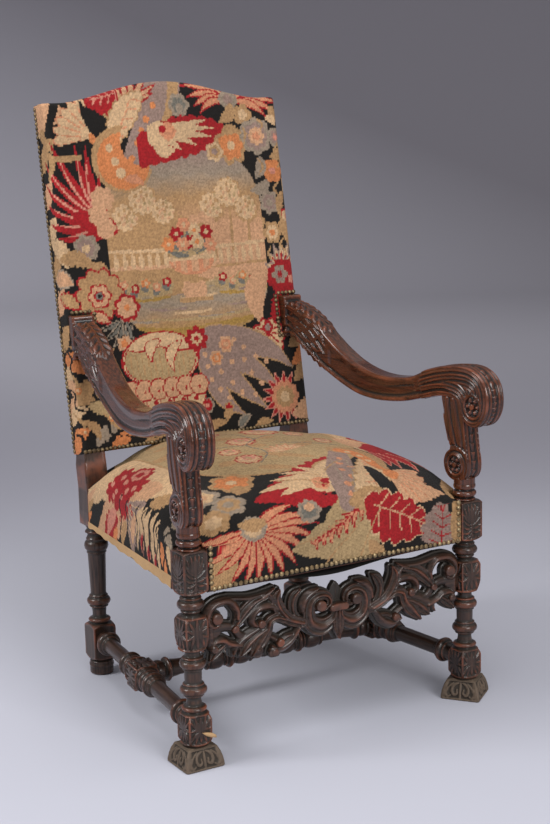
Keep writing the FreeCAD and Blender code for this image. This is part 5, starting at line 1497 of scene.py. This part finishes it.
def needlepoint(name):
    """Wool tent stitch on canvas: matt, slightly furry, with painted shade in the gap round every stitch."""
    material, add = start_material(name)
    wool = add("Attribute", attribute_name="wool", out="Color")
    place = add("Attribute", attribute_name="stitch", out="Vector")
    # One cell for each stitch of the chart; real stitches and fibres are finer, and are drawn coarser to show
    cell = add("TexBrick", {
        "Vector": place, "Scale": 1.0, "Mortar Size": 0.22, "Mortar Smooth": 1.0, "Brick Width": 1.0, "Row Height": 1.0,
    }, "Fac", offset=0.0, squash=1.0)
    fibre = add("TexNoise", {"Vector": place, "Scale": 2.2, "Detail": 4.0, "Roughness": 0.7}, out="Fac")
    # Each stitch's colour darkens towards its edge: painted shade between the stitches
    shade = add("MapRange", {"Value": cell, "To Max": 0.42})
    gap = add("Mix", {0: shade, 6: wool, 7: linear("#1c1712")}, data_type="RGBA", out=2)
    soft = add("MapRange", {"Value": fibre, "From Min": 0.3, "From Max": 0.7, "To Min": 0.86, "To Max": 1.12})
    colour = add("VectorMath", {0: gap, 1: soft}, operation="MULTIPLY")
    height = add("MapRange", {"Value": cell, "To Min": 1.0, "To Max": 0.0})
    rough = add("Math", {0: height, 1: fibre}, operation="ADD")
    bump = add("Bump", {"Height": rough, "Strength": 0.55, "Distance": 0.0012})
    return surfaced(material, add, {
        "Base Color": colour, "Normal": bump, "Roughness": 0.92, "IOR": 1.45, "Specular IOR Level": 0.3,
        "Sheen Weight": 0.03, "Sheen Roughness": 0.5,
    })


def woven(name, pale, dark, thread):
    """Plain woven cloth: crossing threads, soiled in patches, no shine."""
    material, add = start_material(name)
    place = add("Attribute", attribute_name="weave", out="Vector")
    # Threads are half a millimetre apart, drawn coarser so that they show; a wave repeats every pi / 10
    scaled = add("Mapping", {"Vector": place, "Scale": (math.pi / 10 / thread,) * 3})
    weft, warp = (add("TexWave", {"Vector": scaled, "Scale": 1.0, "Distortion": 0.6}, "Fac", bands_direction=way)
                  for way in "YX")
    weave = add("Math", {0: weft, 1: warp}, operation="ADD")
    soil = add("TexNoise", {"Vector": place, "Scale": 0.014, "Detail": 5.0}, out="Fac")
    share = add("Math", {0: weave, 1: soil}, operation="MULTIPLY")
    colour = add("Mix", {0: share, 6: dark, 7: pale}, data_type="RGBA", out=2)
    bump = add("Bump", {"Height": weave, "Strength": 0.4, "Distance": 0.0008})
    return surfaced(material, add, {"Base Color": colour, "Normal": bump, "Roughness": 0.95, "IOR": 1.45})


def brass(name, tarnished, rubbed):
    """Stamped brass nail heads: rubbed bright in places, brown with age in others."""
    material, add = start_material(name)
    metres = add("TexCoord", out="Object")
    # Tarnish differs from nail to nail, about 10 mm apart
    tarnish = add("TexNoise", {"Vector": metres, "Scale": 90.0, "Detail": 3.0}, out="Fac")
    share = add("MapRange", {"Value": tarnish, "From Min": 0.35, "From Max": 0.65})
    colour = add("Mix", {0: share, 6: tarnished, 7: rubbed}, data_type="RGBA", out=2)
    dull = add("MapRange", {"Value": share, "To Min": 0.62, "To Max": 0.44})
    return surfaced(material, add, {"Base Color": colour, "Roughness": dull, "Metallic": 0.85})


def studio_paper(name, floor, fold_shade, wall, corner):
    """Matt studio paper with painted shade: pale floor, painted shade in the fold, a paler wall with painted shade that
    darkens it up and to one side.
    """
    material, add = start_material(name)
    metres = add("TexCoord", out="Object")
    across, away, height = (add("SeparateXYZ", {"Vector": metres}, axis) for axis in "XYZ")
    mottle = add("TexNoise", {"Vector": metres, "Scale": 1.5, "Detail": 3.0, "Roughness": 0.4}, out="Fac")
    depth = add("Math", {0: mottle, 1: 0.2, 2: away}, operation="MULTIPLY_ADD")
    tone = floor
    # Painted shade in the fold, then the paler wall
    for nearest, farthest, next_tone in ((0.5, 2.1, fold_shade), (2.2, 5.0, wall)):
        share = add("MapRange", {"Value": depth, "From Min": nearest, "From Max": farthest},
                    interpolation_type="SMOOTHSTEP")
        tone = add("Mix", {0: share, 6: tone, 7: next_tone}, data_type="RGBA", out=2)
    # Painted shade that darkens the wall up and to one side
    risen = add("Math", {0: height, 1: 6.0, 2: depth}, operation="MULTIPLY_ADD")
    towards_shade = add("Math", {0: across, 1: 3.0, 2: risen}, operation="MULTIPLY_ADD")
    share = add("MapRange", {"Value": towards_shade, "From Min": 1.0, "From Max": 16.0})
    tone = add("Mix", {0: share, 6: tone, 7: corner}, data_type="RGBA", out=2)
    return surfaced(material, add, {"Base Color": tone, "Roughness": 0.9})


def finish_named(name):
    """The finish with this name, made on first use."""
    if name in bpy.data.materials:
        return bpy.data.materials[name]
    wood = bpy.context.scene.armchair_wood
    # In each finish the third colour goes on the ridges, as wear with a painted highlight, and the fourth into the
    # hollows, as wax and dust with painted shade
    polished = [tuple(wood.heart), mixed(wood.streak, wood.heart, 0.3), tuple(wood.worn), tuple(wood.wax)]
    carved = [mixed(wood.heart, wood.wax, 0.65), mixed(wood.streak, wood.dust, 0.72),
              mixed(wood.worn, wood.dust, 0.2), mixed(wood.wax, wood.dust, 0.5)]
    dry = [mixed(wood.dust, wood.foot, 0.45), tuple(wood.foot), tuple(wood.foot), mixed(wood.wax, wood.dust, 0.8)]
    makers = {
        "carved_walnut": lambda: walnut(name, carved, 0.95, 0.34),
        "polished_walnut": lambda: walnut(name, polished, 0.7, 0.23),
        "dry_walnut": lambda: walnut(name, dry, 0.6, 0.6),
        "raw_walnut": lambda: walnut(name, [linear("#a8845c"), linear("#c9a67c")] + polished[2:], 0.0, 0.7),
        "frame_walnut": lambda: walnut(name, polished, 0.0, 0.5, False),
        "wool_needlepoint": lambda: needlepoint(name),
        "tan_linen": lambda: woven(name, linear("#caa477"), linear("#9c7a52"), 1.4),
        "black_cotton": lambda: woven(name, linear("#2a2825"), linear("#0f0e0d"), 2.2),
        "antique_brass": lambda: brass(name, linear("#64513a"), linear("#ae9873")),
        "browned_brass": lambda: brass(name, linear("#40342a"), linear("#8a7657")),
    }
    return makers[name]()


def add_wood(name, work, finish):
    """Make a wooden piece that stands for the solid of the same name."""
    points, faces, hollow, grain = work
    add_piece(name + "_carved", points, faces, finish_named(finish), "walnut", [name], hollow=hollow, grain=grain)


def add_wood_pair(name, work, finish):
    """Make a wooden piece for the right side and its mirror image for the left, with other grain."""
    points, faces, hollow, grain = work
    add_wood(name + "_right", work, finish)
    add_wood(name + "_left", (*mirror(points, faces), hollow, grain + (0, 137, 59)), finish)


# One operator for each group of pieces
class ARMCHAIR_OT_legs(Operator):
    """Turn and carve the four legs and the front feet"""
    bl_idname = "armchair.legs"
    bl_label = "Legs"

    def execute(self, context):
        add_wood_pair("front_leg", moved(front_leg(), (FRONT_X, FRONT_Y, 0)), "carved_walnut")
        self.split()
        add_wood_pair("back_leg", moved(back_leg(), (BACK_X, BACK_Y, 0)), "carved_walnut")
        points, faces, hollow, grain = front_foot()
        for name, x, twist in (("front_foot_left", -FRONT_X, 0), ("front_foot_right", FRONT_X, math.radians(37.5))):
            turn = np.array([[math.cos(twist), math.sin(twist), 0], [-math.sin(twist), math.cos(twist), 0], [0, 0, 1]])
            add_wood(name, (points @ turn + (x, FRONT_Y, 0), faces, hollow, grain + x), "dry_walnut")
        return {"FINISHED"}

    def split(self):
        """A sliver that has lifted off the left leg's low block and shows raw wood."""
        edge = [(1, 65), (12, 63.5), (22, 60.5), (28.5, 56), (29, 51), (20, 53), (9, 58)]
        face = FRONT_Y - HALF_BLOCK
        points = np.array([(x - FRONT_X, face - out - 0.03 * x, z) for out in (1.6, -2.0) for x, z in edge])
        count = len(edge)
        faces = [list(range(count)), list(range(2 * count - 1, count - 1, -1))]
        faces += [[k, k + count, (k + 1) % count + count, (k + 1) % count] for k in range(count)]
        add_piece("leg_split", points, faces, finish_named("raw_walnut"), "walnut",
                  hollow=np.zeros(2 * count), grain=points)


class ARMCHAIR_OT_stretchers(Operator):
    """Turn the low stretchers and pierce the carved front one"""
    bl_idname = "armchair.stretchers"
    bl_label = "Stretchers"

    def execute(self, context):
        add_wood_pair("side_stretcher", side_stretcher(), "carved_walnut")
        add_wood("cross_stretcher", cross_stretcher(), "carved_walnut")
        add_wood("front_stretcher", front_stretcher(), "carved_walnut")
        return {"FINISHED"}


class ARMCHAIR_OT_arms(Operator):
    """Carve the arms and their scrolled supports"""
    bl_idname = "armchair.arms"
    bl_label = "Arms"

    def execute(self, context):
        add_wood_pair("arm", arm(), "polished_walnut")
        add_wood_pair("arm_support", arm_support(), "polished_walnut")
        return {"FINISHED"}


class ARMCHAIR_OT_frame(Operator):
    """Give the plain rails and blocks of the frame their wood"""
    bl_idname = "armchair.frame"
    bl_label = "Frame"

    def execute(self, context):
        for name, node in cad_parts.items():
            if name.endswith(("_rail", "_rail_left", "_rail_right")) or "corner_block" in name:
                node.data.materials.clear()
                node.data.materials.append(finish_named("frame_walnut"))
        return {"FINISHED"}


class ARMCHAIR_OT_upholstery(Operator):
    """Stuff the seat and back and cover them in needlepoint"""
    bl_idname = "armchair.upholstery"
    bl_label = "Upholstery"

    def execute(self, context):
        wools = {name: tuple(getattr(context.scene.armchair_wool, name)) for name in WoolColours.__annotations__}
        sizes = context.scene.armchair_sizes
        stitch = sizes.stitch * 1000
        cloth = finish_named("wool_needlepoint")
        canvas = Canvas(wools, -330, 330, -60, 810, stitch)
        garden(canvas)
        back_motifs(canvas)
        points, across, up = back_grid(420, 340)
        moves = swell(back_grid(56, 46)[0], 3.0, sizes.back_swell * 1000)
        points = points + finer(moves, *points.shape[:2])
        self.cover("back_needlepoint", points, across, up, canvas, cloth, 0.8,
                   ("back_cover", "back_stuffing", "back_hessian", "back_webbing"))
        canvas = Canvas(wools, -480, 480, -10, 800, stitch)
        seat_motifs(canvas)
        points, across, up = seat_grid(400, 470)
        moves = swell(seat_grid(54, 54)[0], 4.0, sizes.seat_swell * 1000)
        points = round_posts(points + finer(moves, *points.shape[:2]))
        self.cover("seat_needlepoint", points, across, up, canvas, cloth, 0.85,
                   ("seat_cover", "seat_stuffing", "seat_hessian", "seat_webbing"))
        return {"FINISHED"}

    def cover(self, name, points, across, up, canvas, cloth, fill, nodes):
        """Make a padded cover and give each of its points the wool of its place on the canvas."""
        spacing = canvas.across[1] - canvas.across[0]
        place = grid_points(across / spacing + 0.5, up / spacing + 0.5, 0)
        piece = add_piece(name, points.reshape(-1, 3), grid_faces(*points.shape[:2]), cloth, "needlepoint", nodes,
                          wool=wool_colours(canvas, across, up, len(name)), stitch=place)


class ARMCHAIR_OT_cloths(Operator):
    """Stretch the outside back, the side linings and the dust cloth"""
    bl_idname = "armchair.cloths"
    bl_label = "Plain cloths"

    def execute(self, context):
        linen = finish_named("tan_linen")
        self.outside_back(linen)
        self.side_lining("right", 1, linen)
        self.side_lining("left", -1, linen)
        self.dust_cloth(finish_named("black_cotton"))
        return {"FINISHED"}

    def outside_back(self, linen):
        """Linen over the back of the frame, a little slack in the middle."""
        rows, columns, border = 70, 60, 2
        x = np.linspace(-PANEL_HALF + border, PANEL_HALF - border, columns)[None, :]
        share = np.linspace(0, 1, rows)[:, None]
        height = share * (panel_top(x) - 3) + 1.5
        slack = 1.2 * np.sin(np.pi * share) * np.cos(math.pi * x / (2 * PANEL_HALF))
        points = lean_back(x + 0 * share, PANEL_REAR + 0.2 - slack, PANEL_BASE + height)
        piece = add_piece("outside_back_cloth", points.reshape(-1, 3), grid_faces(rows, columns)[:, ::-1], linen,
                          "backing_cloth", ["outside_back"], weave=grid_points(x, height, 0.0))

    def side_lining(self, side, sign, linen):
        """A strip of linen on a side rail below the needlepoint, with a frayed lower edge."""
        rows, columns = 10, 90
        sine, cosine = math.sin(SIDE_TOE), math.cos(SIDE_TOE)
        run = np.linspace(HALF_BLOCK, SIDE_LENGTH - HALF_BLOCK, columns)[None, :]
        drop = np.linspace(0, 1, rows)[:, None]
        low = 320 + 1.5 * np.sin(run / 17) + 1.2 * np.sin(run / 7.3)
        high = side_edge(FRONT_Y + run * cosine) + 2.5
        z = high - drop * (high - low)
        out = HALF_BLOCK - 1.6 + 0.8 * np.sin(run / 23) * drop
        points = grid_points(sign * (FRONT_X - run * sine + out * cosine), FRONT_Y + run * cosine + out * sine, z)
        piece = add_piece("side_lining_cloth_" + side, points, grid_faces(rows, columns)[:, ::-sign], linen,
                          "backing_cloth", ["side_lining_" + side], weave=grid_points(run, z, 0.0))

    def dust_cloth(self, cotton):
        """Cotton under the seat, cut round the legs and sagging most behind the front rail."""
        rows, columns, cut, notch, under, slack, bulge = 46, 50, 26, 34, 318.2, 9, 12
        x = np.linspace(-1, 1, columns)[None, :]
        y = np.linspace(FRONT_Y - 18, BACK_Y + 12, rows)[:, None]
        wide = side_line(y) + 8
        wide = np.where((y < FRONT_Y + cut) | (y > BACK_Y - cut), wide - notch, wide)
        sag = slack * (1 - x ** 2) * (1 - (2 * (y - FRONT_Y) / (BACK_Y - FRONT_Y) - 1) ** 2).clip(0)
        points = grid_points(x * wide, y, under - (sag + bulge * np.exp(-((x + 0.05) / 0.35) ** 2)))
        piece = add_piece("dust_cloth_sagging", points, grid_faces(rows, columns)[:, ::-1], cotton, "dust_cloth",
                          ["dust_cloth"], weave=points)


class ARMCHAIR_OT_nails(Operator):
    """Drive the domed brass nails along the edges of the needlepoint"""
    bl_idname = "armchair.nails"
    bl_label = "Brass nails"

    def execute(self, context):
        sizes = context.scene.armchair_sizes
        size, pitch = sizes.nail * 1000, sizes.nail_spacing * 1000
        ahead = (0, -1, 0)
        face, hem, bow = SEAT_FRONT - 0.6, 323.5, 4
        row = [((x, face, hem + bow * (1 - (x / 270) ** 2)), ahead) for x in np.arange(-264, 269, pitch)]
        posts = [((x, face, z), ahead) for x in (-269, 269) for z in np.arange(335, 402, pitch)]
        self.drive("seat_front_nails", row + posts, size, 3, "antique_brass")
        small, pitch = 0.94 * size, 0.88 * pitch
        facing = (0, -math.cos(RAKE), math.sin(RAKE))
        # The cloth is cut round the arms, and nailed round the cut
        cut_x, cut_low, cut_high = 212, 193, 284
        edge = [(lean_back(x, -10, PANEL_BASE + 5), facing) for x in np.arange(-264, 265, pitch)]
        for sign in (-1, 1):
            for height in np.arange(6, PANEL_SHOULDER - 6, pitch):
                edge.append((lean_back(sign * (PANEL_HALF + 1.2), 35, PANEL_BASE + height), (sign, 0, 0)))
            for height in np.arange(cut_low + 1, cut_high + 2, pitch):
                edge.append((lean_back(sign * cut_x, -14, PANEL_BASE + height), facing))
            for x in np.arange(cut_x + pitch, 264, pitch):
                edge.append((lean_back(sign * x, -12, PANEL_BASE + cut_high), facing))
                edge.append((lean_back(sign * x, -12, PANEL_BASE + cut_low), facing))
        self.drive("back_edge_nails", edge, small, 5, "browned_brass")
        behind = (0, math.cos(RAKE), -math.sin(RAKE))
        inset = 8
        edge = [(sign * (PANEL_HALF - inset), height)
                for sign in (-1, 1) for height in np.arange(inset, PANEL_SHOULDER - inset, 2 * pitch)]
        edge += [(x, height) for x in np.arange(-252, 253, 2 * pitch) for height in (inset, panel_top(x) - inset)]
        edge = [(lean_back(x, PANEL_REAR + 0.8, PANEL_BASE + height), behind) for x, height in edge]
        self.drive("outside_back_nails", edge, small, 7, "browned_brass")
        return {"FINISHED"}

    def drive(self, name, places, size, seed, finish):
        """Make one row of nails."""
        points, faces = nails_at(places, size, seed)
        add_piece(name, points, faces, finish_named(finish), "brass_nails")


class ARMCHAIR_OT_stage(Operator):
    """Set the floor, the backdrop, the lamps and the camera"""
    bl_idname = "armchair.stage"
    bl_label = "Stage"

    def execute(self, context):
        scene = context.scene
        # The paper lies flat, bends up behind the chair and stands as a wall, in metres
        bend, radius, bend_start, half_width = np.linspace(0, math.pi / 2, 24), 2.5, 6.0, 30.0
        wall = bend_start + radius
        depth = np.concatenate([[-half_width, -3, 0, 3], bend_start + radius * np.sin(bend), [wall, wall]])
        height = np.concatenate([[0, 0, 0, 0], radius * (1 - np.cos(bend)), [4, 7]])
        across = np.linspace(-half_width, half_width, 13)
        points = grid_points(across, depth[:, None], height[:, None])
        mesh = bpy.data.meshes.new("paper_sweep")
        mesh.from_pydata(points, [], grid_faces(len(depth), len(across)).tolist())
        mesh.shade_smooth()
        # Floor, painted shade of the fold, wall, and painted shade of the upper corner
        tones = map(linear, ("#bebfcb", "#a5a4b0", "#d1d0dc", "#8a8790"))
        mesh.materials.append(studio_paper("studio_paper", *tones))
        floor = bpy.data.objects.new("paper_sweep", mesh)
        scene.collection.objects.link(floor)
        floor.rotation_euler = (0, 0, math.radians(-30))
        for name, place, target, size, power in (
            ("key", (-3.2, 0.5, 2.6), (0, 0, 0.5), 1.5, 84),
            ("fill", (0.2, -4.8, 2.4), (0, 0, 0.3), 2.2, 138),
            ("top", (-0.4, -1.1, 3.4), (0, 0, 0.5), 2.0, 36),
        ):
            lamp = bpy.data.lights.new(name, "AREA")
            lamp.energy = power
            lamp.size = size
            light = bpy.data.objects.new(name, lamp)
            aim = (Vector(target) - Vector(place)).to_track_quat("-Z", "Y")
            light.matrix_world = Matrix.Translation(place) @ aim.to_matrix().to_4x4()
            scene.collection.objects.link(light)
        world = bpy.data.worlds.new("studio")
        world.use_nodes = True
        room = world.node_tree.nodes["Background"].inputs
        room["Color"].default_value = (*linear("#d9d8d8"), 1)
        room["Strength"].default_value = 0.62
        scene.world = world
        lens = bpy.data.cameras.new("photograph")
        lens.lens = 71.52
        camera = bpy.data.objects.new("photograph", lens)
        right, up, ahead = (0.85834, -0.51254, -0.02338), (0.11982, 0.15593, 0.98047), (0.49889, 0.84438, -0.19526)
        place = (-1.5648, -2.7454, 1.1842)
        camera.matrix_world = Matrix([*zip(right, up, (-way for way in ahead), place), (0, 0, 0, 1)])
        scene.collection.objects.link(camera)
        scene.camera = camera
        scene.view_settings.view_transform = "Standard"
        return {"FINISHED"}


OPERATORS = (ARMCHAIR_OT_stage, ARMCHAIR_OT_legs, ARMCHAIR_OT_stretchers, ARMCHAIR_OT_arms, ARMCHAIR_OT_frame,
             ARMCHAIR_OT_upholstery, ARMCHAIR_OT_cloths, ARMCHAIR_OT_nails)


class ARMCHAIR_PT_panel(Panel):
    """The armchair's sizes, colours and pieces"""
    bl_idname = "ARMCHAIR_PT_panel"
    bl_label = "Carved Armchair"
    bl_space_type = "VIEW_3D"
    bl_region_type = "UI"
    bl_category = "Armchair"

    def draw(self, context):
        """List the sizes and colours, and a button for each group of pieces."""
        for settings in (context.scene.armchair_sizes, context.scene.armchair_wood, context.scene.armchair_wool):
            for name in type(settings).__annotations__:
                self.layout.prop(settings, name)
        for operator in OPERATORS:
            self.layout.operator(operator.bl_idname)


CLASSES = (WoodColours, WoolColours, ChairSizes, *OPERATORS, ARMCHAIR_PT_panel)


def register():
    """Make the settings, operators and panel known to Blender."""
    for kind in CLASSES:
        bpy.utils.register_class(kind)
    bpy.types.Scene.armchair_wood = PointerProperty(type=WoodColours)
    bpy.types.Scene.armchair_wool = PointerProperty(type=WoolColours)
    bpy.types.Scene.armchair_sizes = PointerProperty(type=ChairSizes)


def unregister():
    """Take them away again."""
    for name in ("armchair_wood", "armchair_wool", "armchair_sizes"):
        delattr(bpy.types.Scene, name)
    for kind in reversed(CLASSES):
        bpy.utils.unregister_class(kind)


def main():
    """Build the armchair."""
    register()
    bpy.ops.armchair.stage()
    bpy.ops.armchair.legs()
    bpy.ops.armchair.stretchers()
    bpy.ops.armchair.arms()
    bpy.ops.armchair.frame()
    bpy.ops.armchair.upholstery()
    bpy.ops.armchair.cloths()
    bpy.ops.armchair.nails()


if __name__ == "__main__":
    main()
